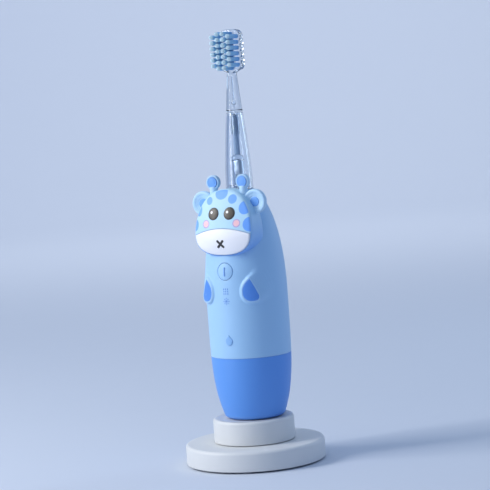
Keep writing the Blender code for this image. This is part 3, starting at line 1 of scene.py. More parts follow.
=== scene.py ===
from math import cos, hypot, pi, radians, sin, sqrt
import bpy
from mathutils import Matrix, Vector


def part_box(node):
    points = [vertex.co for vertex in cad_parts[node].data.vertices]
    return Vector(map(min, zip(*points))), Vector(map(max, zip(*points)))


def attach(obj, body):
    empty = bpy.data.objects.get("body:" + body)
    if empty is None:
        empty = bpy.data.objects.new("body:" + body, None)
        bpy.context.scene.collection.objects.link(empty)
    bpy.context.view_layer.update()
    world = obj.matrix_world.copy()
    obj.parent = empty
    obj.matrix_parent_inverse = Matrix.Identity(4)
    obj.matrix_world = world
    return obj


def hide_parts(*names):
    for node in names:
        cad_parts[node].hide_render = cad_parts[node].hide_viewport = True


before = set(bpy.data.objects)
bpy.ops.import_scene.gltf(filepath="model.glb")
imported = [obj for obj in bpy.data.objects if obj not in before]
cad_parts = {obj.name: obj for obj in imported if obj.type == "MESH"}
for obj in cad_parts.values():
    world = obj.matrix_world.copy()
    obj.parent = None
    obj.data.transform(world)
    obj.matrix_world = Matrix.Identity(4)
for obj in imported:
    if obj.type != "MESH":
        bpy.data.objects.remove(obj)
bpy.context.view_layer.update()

from types import SimpleNamespace

import bmesh
import bpy
from mathutils import Quaternion, Vector
from mathutils.bvhtree import BVHTree

# Base disc of the charger. One injection moulding in pale grey-white ABS with a soft upper edge,
# open at the back round the low-voltage inlet. The raised puck covers the hole in its middle.

MM = 0.001


def measure(node):
    """A node's low and high corner, the middle between them, and half its width."""
    low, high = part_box(node)
    mid = [(a + b) / 2 for a, b in zip(low, high)]
    return SimpleNamespace(low=low, high=high, mid=mid, half=(high.x - low.x) / 2)


base_box = measure("base_shell")
BASE_RADIUS = base_box.half
BASE_TOP = base_box.high.z
BASE_SKIRT = base_box.low.z
BASE_WALL = 1.8 * MM
BASE_HOLE = 8.0 * MM
CHARGER_GREY = (0.680, 0.690, 0.690)


def round_corners(corners, steps=7):
    """Points of a profile from (radius, height, rounding) corners, each rounded by an arc."""
    points = []
    closed = corners[0][:2] == corners[-1][:2]
    for i, (x, z, rounding) in enumerate(corners):
        here = Vector((x, z))
        first, last = i == 0, i == len(corners) - 1
        if rounding == 0 or ((first or last) and not closed):
            points.append((x, z))
            continue
        before = Vector(corners[-2 if first else i - 1][:2])
        after = Vector(corners[1 if last else i + 1][:2])
        start = here + (before - here).normalized() * rounding
        end = here + (after - here).normalized() * rounding
        for k in range(steps + 1):
            turn = pi / 2 * k / steps
            point = here + (start - here) * (1 - sin(turn)) + (end - here) * (1 - cos(turn))
            points.append((point.x, point.y))
    return points


def woven(name, rows):
    """Object whose faces run between rows of points. A row drawn together in one point closes it."""
    bm = bmesh.new()
    lines = [[bm.verts.new(point) for point in row] for row in rows]
    for low, high in zip(lines, lines[1:]):
        for i in range(len(low)):
            bm.faces.new((low[i - 1], low[i], high[i], high[i - 1]))
    bmesh.ops.remove_doubles(bm, verts=bm.verts, dist=2e-7)
    bmesh.ops.recalc_face_normals(bm, faces=bm.faces)
    mesh = bpy.data.meshes.new(name)
    bm.to_mesh(mesh)
    bm.free()
    mesh.shade_smooth()
    mesh.set_sharp_from_angle(angle=radians(40))
    made = bpy.data.objects.new(name, mesh)
    bpy.context.scene.collection.objects.link(made)
    return made


def turned(name, profile, centre=(0, 0), sides=96):
    """Round object turned about the vertical line through centre from (radius, height) points."""
    turns = [2 * pi * i / sides for i in range(sides)]
    rows = [[(centre[0] + r * cos(a), centre[1] + r * sin(a), z) for a in turns] for r, z in profile]
    return woven(name, rows)


def applied(obj):
    """Turns an object's modifiers into mesh."""
    graph = bpy.context.evaluated_depsgraph_get()
    mesh = bpy.data.meshes.new_from_object(obj.evaluated_get(graph))
    obj.modifiers.clear()
    obj.data = mesh
    return obj


def smooth_as(obj, tree, normals):
    """Gives the faces left by a cut the normals that the uncut surface had there."""
    mesh = obj.data
    given = [Vector((0, 0, 0))] * len(mesh.loops)
    for face in mesh.polygons:
        for loop in face.loop_indices:
            place = mesh.vertices[mesh.loops[loop].vertex_index].co
            spot, flat, index, distance = tree.find_nearest(place)
            if distance < 2e-6 and flat.dot(face.normal) > 0.94:
                given[loop] = normals(index, spot)
    mesh.normals_split_custom_set(given)


def cut_out(obj, *cutters):
    """Cuts solids out of an object and keeps the smooth shading round the cuts."""
    old = obj.data
    points = [vertex.co.copy() for vertex in old.vertices]
    faces = [tuple(face.vertices) for face in old.polygons]
    tree = BVHTree.FromPolygons(points, faces)
    directions = [vertex.normal.copy() for vertex in old.vertices]

    def normals(index, spot):
        total = Vector((0, 0, 0))
        for corner in faces[index]:
            total += directions[corner] / ((points[corner] - spot).length + 1e-7)
        return total.normalized()

    for cutter in cutters:
        modifier = obj.modifiers.new("cut", "BOOLEAN")
        modifier.operation = "DIFFERENCE"
        modifier.solver = "EXACT"
        modifier.object = cutter
    applied(obj)
    for cutter in cutters:
        bpy.data.objects.remove(cutter)
    smooth_as(obj, tree, normals)
    return obj


def oblong(half_width, half_height, corner, steps=8):
    """Points of an upright rounded oblong, (across, up), anticlockwise."""
    points = []
    for quarter in range(4):
        x = (half_width - corner) * (1 if quarter in (0, 3) else -1)
        z = (half_height - corner) * (1 if quarter < 2 else -1)
        for k in range(steps + 1):
            turn = pi / 2 * (quarter + k / steps)
            points.append((x + corner * cos(turn), z + corner * sin(turn)))
    return points


def run_of(name, sections):
    """Solid through (points, depth) sections along +Y, closed at both ends."""
    rows = []
    for points, depth in [(sections[0][0], None)] + sections + [(sections[-1][0], None)]:
        if depth is None:
            middle = Vector((sum(p[0] for p in points), sum(p[1] for p in points))) / len(points)
            depth = sections[-1][1] if rows else sections[0][1]
            points = [middle] * len(points)
        rows.append([(x, depth, z) for x, z in points])
    return woven(name, rows)


def new_group(name, inputs, outputs):
    """Node group with named number or colour inputs and their first values."""
    tree = bpy.data.node_groups.new(name, "ShaderNodeTree")
    for label, value in inputs.items():
        kind = "NodeSocketFloat" if isinstance(value, float) else "NodeSocketColor"
        tree.interface.new_socket(label, in_out="INPUT", socket_type=kind).default_value = value
    for label, kind in outputs.items():
        tree.interface.new_socket(label, in_out="OUTPUT", socket_type="NodeSocket" + kind)
    entry = tree.nodes.new("NodeGroupInput")
    result = tree.nodes.new("NodeGroupOutput")
    return tree, entry.outputs, result.inputs


def add(tree, kind, inputs=(), **options):
    """Adds a node. Its inputs are given by name or number, as a value or as another's output."""
    made = tree.nodes.new("ShaderNode" + kind)
    for option, value in options.items():
        setattr(made, option, value)
    for key, value in dict(inputs).items():
        feed(tree, made.inputs[key], value)
    return made


def feed(tree, socket, value):
    if isinstance(value, bpy.types.NodeSocket):
        tree.links.new(value, socket)
    else:
        socket.default_value = value


def maths(tree, operation, *values, clamp=False):
    made = add(tree, "Math", dict(enumerate(values)), operation=operation, use_clamp=clamp)
    return made.outputs[0]


def blend(tree, share, below, above, mode="MIX"):
    """Mixes two colours."""
    made = add(tree, "Mix", {0: share, 6: below, 7: above}, data_type="RGBA", blend_type=mode)
    return made.outputs[2]


def full(colour):
    return (*colour, 1.0)


# Moulded skin: fine spark-eroded grain, slow drifts of tone from the melt, and a touch of gloss change.
skin_tree, skin_in, skin_out = new_group(
    "moulded_skin",
    {"Colour": full(CHARGER_GREY), "Roughness": 0.4, "Grain": 2600.0, "Drift": 0.10},
    {"Colour": "Color", "Roughness": "Float", "Height": "Float"},
)
skin_place = add(skin_tree, "TexCoord").outputs["Object"]
skin_grain = add(skin_tree, "TexNoise", {"Vector": skin_place, "Scale": skin_in["Grain"], "Detail": 3.0})
skin_cloud = add(skin_tree, "TexNoise", {"Vector": skin_place, "Scale": 55.0, "Detail": 2.0})
skin_shift = maths(skin_tree, "MULTIPLY", skin_cloud.outputs[0], skin_in["Drift"])
skin_deep = blend(skin_tree, 1.0, skin_in["Colour"], full((0.80, 0.88, 1.0)), "MULTIPLY")
feed(skin_tree, skin_out["Colour"], blend(skin_tree, skin_shift, skin_in["Colour"], skin_deep))
skin_gloss = maths(skin_tree, "MULTIPLY_ADD", skin_cloud.outputs[0], 0.10, -0.05)
skin_fine = maths(skin_tree, "MULTIPLY_ADD", skin_grain.outputs[0], 0.08, skin_gloss)
feed(skin_tree, skin_out["Roughness"], maths(skin_tree, "ADD", skin_in["Roughness"], skin_fine, clamp=True))
feed(skin_tree, skin_out["Height"], skin_grain.outputs[0])

# Rubbed edges: the arrises that fingers polish are a shade lighter.
edge_tree, edge_in, edge_out = new_group(
    "rubbed_edges",
    {"Colour": full(CHARGER_GREY), "Rubbed": full((1.0, 1.0, 1.0)), "Amount": 0.3},
    {"Colour": "Color"},
)
edge_point = add(edge_tree, "NewGeometry").outputs["Pointiness"]
edge_line = add(edge_tree, "MapRange", {0: edge_point, 1: 0.505, 2: 0.56, 3: 0.0, 4: 1.0}).outputs[0]
edge_place = add(edge_tree, "TexCoord").outputs["Object"]
edge_break = add(edge_tree, "TexNoise", {"Vector": edge_place, "Scale": 400.0}).outputs[0]
edge_share = maths(edge_tree, "MULTIPLY", edge_line, edge_break)
edge_mask = maths(edge_tree, "MULTIPLY", edge_share, edge_in["Amount"], clamp=True)
feed(edge_tree, edge_out["Colour"], blend(edge_tree, edge_mask, edge_in["Colour"], edge_in["Rubbed"]))


def use(tree, group, **inputs):
    """Places a node group and gives its outputs."""
    made = tree.nodes.new("ShaderNodeGroup")
    made.node_tree = group
    for label, value in inputs.items():
        feed(tree, made.inputs[label], value)
    return made.outputs


def new_material(name, sockets):
    """Empty material. The settings given go straight to the shader's own sockets."""
    made = bpy.data.materials.new(name)
    made.use_nodes = True
    shader = made.node_tree.nodes["Principled BSDF"].inputs
    for socket, value in sockets.items():
        shader[socket.replace("_", " ")].default_value = value
    return made, made.node_tree, shader


GRAIN_DEPTH = 0.00005
MARK_DEPTH = 0.00002


def roughen(tree, shader, strength, distance, height):
    bump = add(tree, "Bump", {"Strength": strength, "Distance": distance, "Height": height})
    feed(tree, shader["Normal"], bump.outputs[0])


def moulded(name, colour, roughness, grain=2600.0, depth=0.12, drift=0.10, worn=0.3, **sockets):
    """Moulded plastic or rubber."""
    made, tree, shader = new_material(name, sockets)
    skin = use(tree, skin_tree, Colour=full(colour), Roughness=roughness, Grain=grain, Drift=drift)
    feed(tree, shader["Base Color"], use(tree, edge_tree, Colour=skin["Colour"], Amount=worn)["Colour"])
    feed(tree, shader["Roughness"], skin["Roughness"])
    roughen(tree, shader, depth, GRAIN_DEPTH, skin["Height"])
    return made


def wear(obj, finish):
    """Gives an object one material."""
    obj.data.materials.clear()
    obj.data.materials.append(finish)
    return obj


def fit(obj, finish, body, slot, *nodes):
    """Finishes a piece and mounts it on its body in place of its plain nodes."""
    wear(obj, finish)
    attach(obj, body)
    if nodes:
        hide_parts(*nodes)
    return obj


charger_plastic = moulded("charger_plastic", CHARGER_GREY, 0.42)
base_corners = [
    (BASE_HOLE, BASE_TOP, 0.3 * MM),
    (BASE_RADIUS, BASE_TOP, 1.6 * MM),
    (BASE_RADIUS, BASE_SKIRT, 0.5 * MM),
    (BASE_RADIUS - BASE_WALL, BASE_SKIRT, 0.3 * MM),
    (BASE_RADIUS - BASE_WALL, BASE_TOP - BASE_WALL, 0.8 * MM),
    (BASE_HOLE, BASE_TOP - BASE_WALL, 0.3 * MM),
    (BASE_HOLE, BASE_TOP, 0.3 * MM),
]
base_disc = turned("base_disc", round_corners(base_corners), sides=160)
inlet_box = measure("power_inlet")
INLET_HALF_WIDTH = inlet_box.half
INLET_X, INLET_Z = inlet_box.mid[0], inlet_box.mid[2]
INLET_HALF_HEIGHT = (inlet_box.high.z - inlet_box.low.z) / 2
INLET_CORNER = 1.3 * MM
NOTCH_GAP = 0.25 * MM
notch_shape = oblong(INLET_HALF_WIDTH + NOTCH_GAP, INLET_HALF_HEIGHT + NOTCH_GAP, INLET_CORNER)
notch_shape = [(INLET_X + x, INLET_Z + z) for x, z in notch_shape]
notch = run_of("notch", [(notch_shape, BASE_RADIUS - 3 * BASE_WALL), (notch_shape, BASE_RADIUS * 1.1)])
cut_out(base_disc, notch)
fit(base_disc, charger_plastic, "charger", "charger_shell", "base_shell")

# Low-voltage inlet at the back of the base. A drawn steel shell with a moulded black insert,
# and a thin contact tongue carrying gilt pads on both faces.

SHELL_WALL = 0.35 * MM
INSERT_DEPTH = 1.4 * MM


def inlet_ring(shrink, corner):
    points = oblong(INLET_HALF_WIDTH - shrink, INLET_HALF_HEIGHT - shrink, corner - shrink)
    return [(INLET_X + x, INLET_Z + z) for x, z in points]


inlet_sections = [
    (inlet_ring(0, INLET_CORNER), inlet_box.low.y),
    (inlet_ring(0, INLET_CORNER), inlet_box.high.y - 0.12 * MM),
    (inlet_ring(0.12 * MM, INLET_CORNER), inlet_box.high.y),
    (inlet_ring(SHELL_WALL, INLET_CORNER), inlet_box.high.y - 0.05 * MM),
    (inlet_ring(SHELL_WALL, INLET_CORNER), inlet_box.low.y + INSERT_DEPTH),
]
inlet_shell = run_of("inlet_shell", inlet_sections)
tongue_shape = [(INLET_X + x, INLET_Z + z) for x, z in oblong(3.1 * MM, 0.35 * MM, 0.3 * MM, 3)]
tongue_start = inlet_box.low.y + INSERT_DEPTH - 0.2 * MM
tongue_end = inlet_box.high.y - 0.9 * MM
contact_tongue = run_of("contact_tongue", [(tongue_shape, tongue_start), (tongue_shape, tongue_end)])
PAD_COUNT = 6
PAD_PITCH = 0.8 * MM
pad_parts = []
for number in range(PAD_COUNT):
    pad_x = INLET_X + PAD_PITCH * (number - (PAD_COUNT - 1) / 2)
    pad_shape = [(pad_x + x, INLET_Z + z) for x, z in oblong(0.22 * MM, 0.40 * MM, 0.05 * MM, 2)]
    pad_parts.append(run_of("pad", [(pad_shape, tongue_start), (pad_shape, tongue_end - 0.3 * MM)]))


def joined(name, parts):
    """Makes one object of several."""
    bm = bmesh.new()
    for part in parts:
        bm.from_mesh(part.data)
        bpy.data.objects.remove(part)
    mesh = bpy.data.meshes.new(name)
    bm.to_mesh(mesh)
    bm.free()
    made = bpy.data.objects.new(name, mesh)
    bpy.context.scene.collection.objects.link(made)
    return made


contact_pads = joined("contact_pads", pad_parts)


def metal(name, colour, roughness, streak=(1.0, 1.0, 1.0), scale=900.0, depth=0.10):
    """Bare metal with fine marks, drawn out along one direction by streak."""
    made, tree, shader = new_material(name, {"Metallic": 1.0})
    place = add(tree, "Mapping", {"Vector": add(tree, "TexCoord").outputs["Object"], "Scale": streak})
    marks = add(tree, "TexNoise", {"Vector": place.outputs[0], "Scale": scale, "Detail": 4.0}).outputs[0]
    skin = use(tree, skin_tree, Colour=full(colour), Roughness=roughness, Grain=scale, Drift=0.15)
    worn = full([share * 0.8 for share in colour])
    feed(tree, shader["Base Color"], blend(tree, marks, skin["Colour"], worn))
    feed(tree, shader["Roughness"], maths(tree, "MULTIPLY_ADD", marks, 0.12, skin["Roughness"]))
    roughen(tree, shader, depth, MARK_DEPTH, marks)
    return made


steel = metal("drawn_steel", (0.76, 0.78, 0.81), 0.26, streak=(1, 1, 0.05))
gilt = metal("gilt_contacts", (0.85, 0.60, 0.25), 0.28)
black_insert = moulded("black_insert", (0.02, 0.02, 0.024), 0.45)
fit(inlet_shell, steel, "charger", "steel", "power_inlet")
fit(contact_tongue, black_insert, "charger", "switch_plastic")
fit(contact_pads, gilt, "charger", "copper_winding")

# Underside of the charger: four soft rubber feet glued into the base plate, and the plate itself,
# a flat ABS disc held by three pan-head screws with cross recesses.

foot_rubber = moulded("foot_rubber", (0.050, 0.053, 0.060), 0.78, grain=1800.0, depth=0.3, worn=0.15)
for number in (1, 2, 3, 4):
    foot_box = measure(f"rubber_foot_{number}")
    foot_corners = [
        (0, foot_box.low.z, 0),
        (foot_box.half * 0.55, foot_box.low.z, 0.15 * MM),
        (foot_box.half * 0.58, foot_box.low.z + 0.15 * MM, 0.05 * MM),
        (foot_box.half * 0.66, foot_box.low.z + 0.15 * MM, 0.05 * MM),
        (foot_box.half * 0.69, foot_box.low.z, 0.15 * MM),
        (foot_box.half, foot_box.low.z, 0.4 * MM),
        (foot_box.half, foot_box.high.z, 0.1 * MM),
        (0, foot_box.high.z, 0),
    ]
    foot = turned(f"foot_{number}", round_corners(foot_corners, 4), foot_box.mid, 48)
    fit(foot, foot_rubber, "charger", "foot_rubber", f"rubber_foot_{number}")

base_plate_plastic = moulded("base_plate_plastic", (0.60, 0.66, 0.76), 0.50, worn=0.1)
wear(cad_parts["base_plate"], base_plate_plastic)

RECESS_ARM = 1.3 * MM
RECESS_WIDTH = 0.35 * MM
for number in (1, 2, 3):
    screw_box = measure(f"base_screw_{number}")
    screw_centre = screw_box.mid[:2]
    head_top = screw_box.low.z + 1.0 * MM
    screw_corners = [
        (0, screw_box.low.z, 0),
        (screw_box.half, screw_box.low.z, 0.5 * MM),
        (screw_box.half, head_top, 0.1 * MM),
        (0.9 * MM, head_top, 0.1 * MM),
        (0.9 * MM, screw_box.high.z, 0.3 * MM),
        (0, screw_box.high.z, 0),
    ]
    screw = turned(f"plate_screw_{number}", round_corners(screw_corners, 4), screw_centre, 40)
    arms = []
    for half_x, half_y in ((RECESS_ARM, RECESS_WIDTH), (RECESS_WIDTH, RECESS_ARM)):
        outline = [Vector((screw_centre[0] + a * half_x, screw_centre[1] + b * half_y))
                   for a, b in ((1, 1), (-1, 1), (-1, -1), (1, -1))]
        middle = Vector(screw_centre)
        levels = ((0.0, screw_box.low.z - 0.1 * MM), (1.0, screw_box.low.z - 0.1 * MM),
                  (0.6, screw_box.low.z + 0.6 * MM), (0.0, screw_box.low.z + 0.6 * MM))
        rows = [[(*(middle + (p - middle) * share), z) for p in outline] for share, z in levels]
        arms.append(woven("recess", rows))
    cut_out(screw, *arms)
    fit(screw, steel, "charger", "steel", f"base_screw_{number}")

# Charging puck: a second moulding screwed onto the base, with a softly rounded rim, a shallow dish
# for the handle's foot, and the spigot that holds the ferrite rod of the charging coil.

puck_box = measure("charging_puck")
PUCK_RADIUS = puck_box.half
PUCK_WALL = 1.8 * MM
cup_box = measure("base_cup")
HANDLE_BOTTOM = cup_box.low.z
AXIS = (0.0, cup_box.mid[1])
DISH_FLOOR = HANDLE_BOTTOM - 0.3 * MM
RIM_TOP = DISH_FLOOR + 0.6 * MM
DISH_INNER, DISH_OUTER = 14.4 * MM, 17.2 * MM
puck_corners = [
    (0, DISH_FLOOR, 0),
    (DISH_INNER, DISH_FLOOR, 0.9 * MM),
    (DISH_OUTER, RIM_TOP, 0.9 * MM),
    (PUCK_RADIUS, RIM_TOP, 1.4 * MM),
    (PUCK_RADIUS, puck_box.low.z, 0.35 * MM),
    (PUCK_RADIUS - PUCK_WALL, puck_box.low.z, 0.2 * MM),
    (PUCK_RADIUS - PUCK_WALL, DISH_FLOOR - 1.6 * MM, 0.6 * MM),
    (0, DISH_FLOOR - 1.6 * MM, 0),
]
puck_dish = turned("puck_dish", round_corners(puck_corners, 9), sides=128)
SPIGOT_RADIUS = 3.8 * MM
spigot_corners = [
    (0, puck_box.high.z, 0),
    (SPIGOT_RADIUS, puck_box.high.z, 0.9 * MM),
    (SPIGOT_RADIUS, DISH_FLOOR + 0.02 * MM, 0.25 * MM),
    (SPIGOT_RADIUS + 0.3 * MM, DISH_FLOOR, 0.02 * MM),
    (SPIGOT_RADIUS + 0.3 * MM, DISH_FLOOR - 0.5 * MM, 0.1 * MM),
    (0, DISH_FLOOR - 0.5 * MM, 0),
]
spigot = turned("spigot", round_corners(spigot_corners), AXIS, 64)
puck = joined("puck", [puck_dish, spigot])
fit(puck, charger_plastic, "charger", "charger_shell", "charging_puck")

# Works inside the charger: weight, circuit board, bobbin, winding and ferrite rod, with the three
# screws that hold the puck. All of it is shut in by the shells.

ballast_iron = metal("ballast_iron", (0.26, 0.26, 0.27), 0.55, scale=500.0, depth=0.4)
copper = metal("copper_winding", (0.80, 0.38, 0.20), 0.34, streak=(0.1, 0.1, 6.0), scale=1500.0, depth=0.5)
ferrite = moulded("ferrite", (0.045, 0.045, 0.050), 0.62, grain=900.0, depth=0.3)
bobbin_plastic = moulded("bobbin_plastic", (0.25, 0.26, 0.28), 0.50)
board_laminate = moulded("board_laminate", (0.020, 0.17, 0.075), 0.42, grain=1400.0, depth=0.25)


def dress(finish, *names):
    for name in names:
        wear(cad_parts[name], finish)


dress(ballast_iron, "ballast")
dress(board_laminate, "charger_board", "circuit_board")
dress(bobbin_plastic, "coil_bobbin", "chassis")
dress(copper, "primary_coil", "receiver_coil", "stator_coil")
dress(ferrite, "ferrite_rod", "rotor_magnet")
dress(steel, "puck_screw_1", "puck_screw_2", "puck_screw_3")

# Foot of the handle: a deep blue ABS cup, satin outside, with the blind socket that drops over
# the charger's spigot. It is snapped and sealed to the inner housing under the sleeve.

sleeve_low, sleeve_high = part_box("sleeve")
SHOULDER = sleeve_high.z
HANDLE_LENGTH = SHOULDER - HANDLE_BOTTOM
HANDLE_RADIUS = 18.95 * MM
WIDEST = HANDLE_LENGTH - 50.2 * MM
SHOULDER_RADIUS = 6.6 * MM
BOTTOM_TAPER = 0.285
BOTTOM_POWER = 4.3
SHOULDER_SPAN = (HANDLE_LENGTH - WIDEST) / (1 - (SHOULDER_RADIUS / HANDLE_RADIUS) ** 2.2) ** (1 / 2.3)
SOCKET_RADIUS = 4.2 * MM
SOCKET_DEPTH = 6.3 * MM
CUP_WALL = 2.2 * MM
DEEP_BLUE = (0.110, 0.320, 0.800)


def handle_radius(z):
    """Radius of the handle at a height above the floor."""
    height = z - HANDLE_BOTTOM
    if height < WIDEST:
        return HANDLE_RADIUS * (1 - BOTTOM_TAPER * ((WIDEST - height) / WIDEST) ** BOTTOM_POWER)
    rise = min(1.0, (height - WIDEST) / SHOULDER_SPAN)
    return HANDLE_RADIUS * (1 - rise ** 2.3) ** (1 / 2.2)


def spread(low, high, steps):
    return [low + (high - low) * i / steps for i in range(steps + 1)]


deep_blue = moulded("deep_blue_satin", DEEP_BLUE, 0.40, depth=0.10, drift=0.14, worn=0.2)
EDGE_WIDTH = 3.0 * MM
EDGE_HEIGHT = 2.2 * MM
cup_edge = handle_radius(HANDLE_BOTTOM + EDGE_HEIGHT) - EDGE_WIDTH
cup_profile = round_corners([
    (0, HANDLE_BOTTOM + SOCKET_DEPTH, 0),
    (SOCKET_RADIUS, HANDLE_BOTTOM + SOCKET_DEPTH, 0.5 * MM),
    (SOCKET_RADIUS, HANDLE_BOTTOM, 0.5 * MM),
    (cup_edge, HANDLE_BOTTOM, 0),
])
for k in range(1, 13):
    turn = pi / 2 * k / 12
    cup_profile.append((cup_edge + EDGE_WIDTH * sin(turn), HANDLE_BOTTOM + EDGE_HEIGHT * (1 - cos(turn))))
CUP_LIP = 0.12 * MM
SEAM_CLOSING = 0.12 * MM
cup_top = cup_box.high.z + SEAM_CLOSING
cup_side = spread(HANDLE_BOTTOM + EDGE_HEIGHT, cup_top - CUP_LIP, 40)
cup_profile += [(handle_radius(z), z) for z in cup_side[1:]]
cup_profile += round_corners([
    (handle_radius(cup_top - CUP_LIP), cup_top - CUP_LIP, 0),
    (handle_radius(cup_top), cup_top, CUP_LIP * 0.9),
    (handle_radius(cup_top) - CUP_WALL, cup_top, 0.1 * MM),
    (handle_radius(cup_top) - CUP_WALL, cup_top - 2 * CUP_WALL, 0.5 * MM),
    (0, cup_top - 2 * CUP_WALL, 0),
])[1:]
foot_cup = turned("foot_cup", cup_profile, AXIS, 160)
fit(foot_cup, deep_blue, "handle", "deep_blue_plastic", "base_cup")

# Sleeve: the light blue soft-touch skin over the inner housing, one overmoulding with the two
# stubby arms. Their backs run out smoothly into the body; a hole is left for the button.

SLEEVE_BLUE = (0.350, 0.590, 0.860)
SLEEVE_WALL = 2.2 * MM
ARM_Z = SHOULDER - 45.2 * MM
ARM_TURN = radians(36)
ARM_RISE = 0.80 * MM               # how far the arm's front edge stands off the body
ARM_TILT = 0.10                    # how much further it stands off, per length, towards the back
ARM_LIP = 0.17 * MM                # raised rim round the end of the arm
LIP_WIDTH = 0.42 * MM
ARM_RUN = 7.5 * MM                 # length over which its back fades out
ARM_SLOPE = radians(24)            # the way the back runs, above the horizontal
ARM_EDGE = 1.2 * MM
PAW_MARGIN = 0.55 * MM
arm_radius = handle_radius(ARM_Z) + 2 * ARM_RISE
PAW_TOP, PAW_SIDE, PAW_FOOT, PAW_HEEL = (-0.3, 5.2), (-4.0, -0.8), (0.4, -5.1), (3.6, -3.6)


def bezier(a, b, c, d, steps=9):
    """Points along a curve from a to d, without d."""
    points = []
    for k in range(steps):
        t = k / steps
        weights = ((1 - t) ** 3, 3 * t * (1 - t) ** 2, 3 * t * t * (1 - t), t ** 3)
        points.append(tuple(MM * sum(w * p[i] for w, p in zip(weights, (a, b, c, d))) for i in (0, 1)))
    return points


paw_shape = bezier(PAW_TOP, (-2.3, 3.6), (-4.1, 1.7), PAW_SIDE)
paw_shape += bezier(PAW_SIDE, (-4.1, -3.7), (-1.9, -5.2), PAW_FOOT)
paw_shape += bezier(PAW_FOOT, (2.3, -5.2), (3.5, -4.7), PAW_HEEL, 6)
paw_shape += bezier(PAW_HEEL, (3.9, -2.8), (3.5, -2.2), (3.1, -1.5), 5)
paw_shape += bezier((3.1, -1.5), (2.1, 0.9), (0.9, 3.1), PAW_TOP)


def outside(x, z, shape):
    """Distance of a point from a closed outline, negative inside it."""
    nearest = 1.0
    inside = False
    for i, (bx, bz) in enumerate(shape):
        ax, az = shape[i - 1]
        ex, ez = bx - ax, bz - az
        share = ((x - ax) * ex + (z - az) * ez) / (ex * ex + ez * ez)
        share = min(1.0, max(0.0, share))
        nearest = min(nearest, hypot(x - ax - share * ex, z - az - share * ez))
        if (az > z) != (bz > z) and x < ax + ex * (z - az) / ez:
            inside = not inside
    return -nearest if inside else nearest


def smooth(share):
    share = min(1.0, max(0.0, share))
    return share * share * (3 - 2 * share)


def arm_bulge(x, z):
    """Height of an arm above the body; x runs from the front backwards, both from the arm's centre."""
    if abs(x - 2 * MM) > 15 * MM or abs(z - 2 * MM) > 14 * MM:
        return 0.0
    best = 0.0
    steps = 8
    for k in range(steps + 1):
        share = k / steps
        back_x = x - share * ARM_RUN * cos(ARM_SLOPE)
        back_z = z - share * ARM_RUN * sin(ARM_SLOPE)
        edge = outside(back_x, back_z, paw_shape)
        away = edge - PAW_MARGIN
        soft = ARM_EDGE * (1 + 2.5 * share)
        plane = max(0.4 * MM, ARM_RISE + ARM_TILT * (back_x - PAW_SIDE[0] * MM))
        height = plane * (1 - share) ** 1.1 * smooth(1 - away / soft if away > 0 else 1.0)
        if k == 0:
            height += ARM_LIP * smooth(1 - abs(edge - LIP_WIDTH * 0.8) / LIP_WIDTH)
        best = max(best, height)
    return best


def arm_height(turn, z):
    """Height of the nearer arm at a turn from the front, about the handle's axis."""
    return arm_bulge((abs(turn) - ARM_TURN) * arm_radius, z - ARM_Z)


def on_handle(turn, z, lift=0.0, arms=True):
    """Point on the sleeve; turn is counted from the front towards +X."""
    radius = handle_radius(z) + lift + (arm_height(turn, z) if arms else 0.0)
    return (AXIS[0] + radius * sin(turn), AXIS[1] - radius * cos(turn), z)


seam_z = sleeve_low.z - SEAM_CLOSING
ARM_LOW, ARM_HIGH = ARM_Z - 9 * MM, ARM_Z + 14 * MM
LIP = 0.12 * MM
ARM_FRONT, ARM_BACK = ARM_TURN - 8 * MM / arm_radius, ARM_TURN + 16 * MM / arm_radius
arm_turns = spread(ARM_FRONT, ARM_BACK, 96)
side_turns = spread(0, ARM_FRONT, 12)[:-1] + arm_turns + spread(ARM_BACK, pi, 44)[1:]
turns = side_turns + [-turn for turn in reversed(side_turns[1:-1])]
sleeve_heights = [seam_z + LIP * (1 - cos(pi / 2 * k / 4)) for k in range(5)]
sleeve_heights += spread(sleeve_heights[-1], ARM_LOW, 22)[1:]
sleeve_heights += spread(ARM_LOW, ARM_HIGH, 76)[1:]
TOP_STEPS = 54
for k in range(1, TOP_STEPS + 1):
    sleeve_heights.append(ARM_HIGH + (SHOULDER - ARM_HIGH) * sin(pi / 2 * k / TOP_STEPS))
lip_radius = handle_radius(seam_z)
MOUTH = 5.0 * MM


def plain_ring(radius, z):
    return [(radius * sin(t), AXIS[1] - radius * cos(t), z) for t in turns]


inner_radius = lip_radius - SLEEVE_WALL
sleeve_rows = [plain_ring(inner_radius, seam_z + 4 * MM), plain_ring(inner_radius, seam_z)]
for k, z in enumerate(sleeve_heights):
    sunk = LIP * (1 - sin(pi / 2 * k / 4)) if k < 4 else 0.0
    arms = ARM_LOW < z < ARM_HIGH
    sleeve_rows.append([on_handle(t, z, -sunk, arms) for t in turns])
for radius, z in ((MOUTH + 0.3 * MM, SHOULDER), (MOUTH, SHOULDER - 0.3 * MM), (MOUTH, SHOULDER - 6 * MM)):
    sleeve_rows.append(plain_ring(radius, z))
for z in reversed(spread(seam_z + 4 * MM, SHOULDER - 6 * MM, 24)):
    sleeve_rows.append(plain_ring(max(MOUTH, handle_radius(z) - SLEEVE_WALL), z))
sleeve_rows.append(sleeve_rows[0])
soft_sleeve = woven("soft_sleeve", sleeve_rows)

button_box = measure("power_button")
BUTTON_RADIUS = button_box.half
BUTTON_Z = button_box.mid[2]
HOLE_ROUND = 0.30 * MM
hole_radius = BUTTON_RADIUS + 0.16 * MM
hole_rows = []
for extra, depth in ((-1, -4 * MM), (0, -4 * MM), (0, -HOLE_ROUND)):
    hole_rows.append((0 if extra < 0 else hole_radius, depth))
for k in range(1, 6):
    bend = pi / 2 * k / 5
    hole_rows.append((hole_radius + HOLE_ROUND * (1 - cos(bend)), -HOLE_ROUND * (1 - sin(bend))))
hole_rows += [(hole_radius + HOLE_ROUND * 1.05, 1 * MM), (0, 1 * MM)]


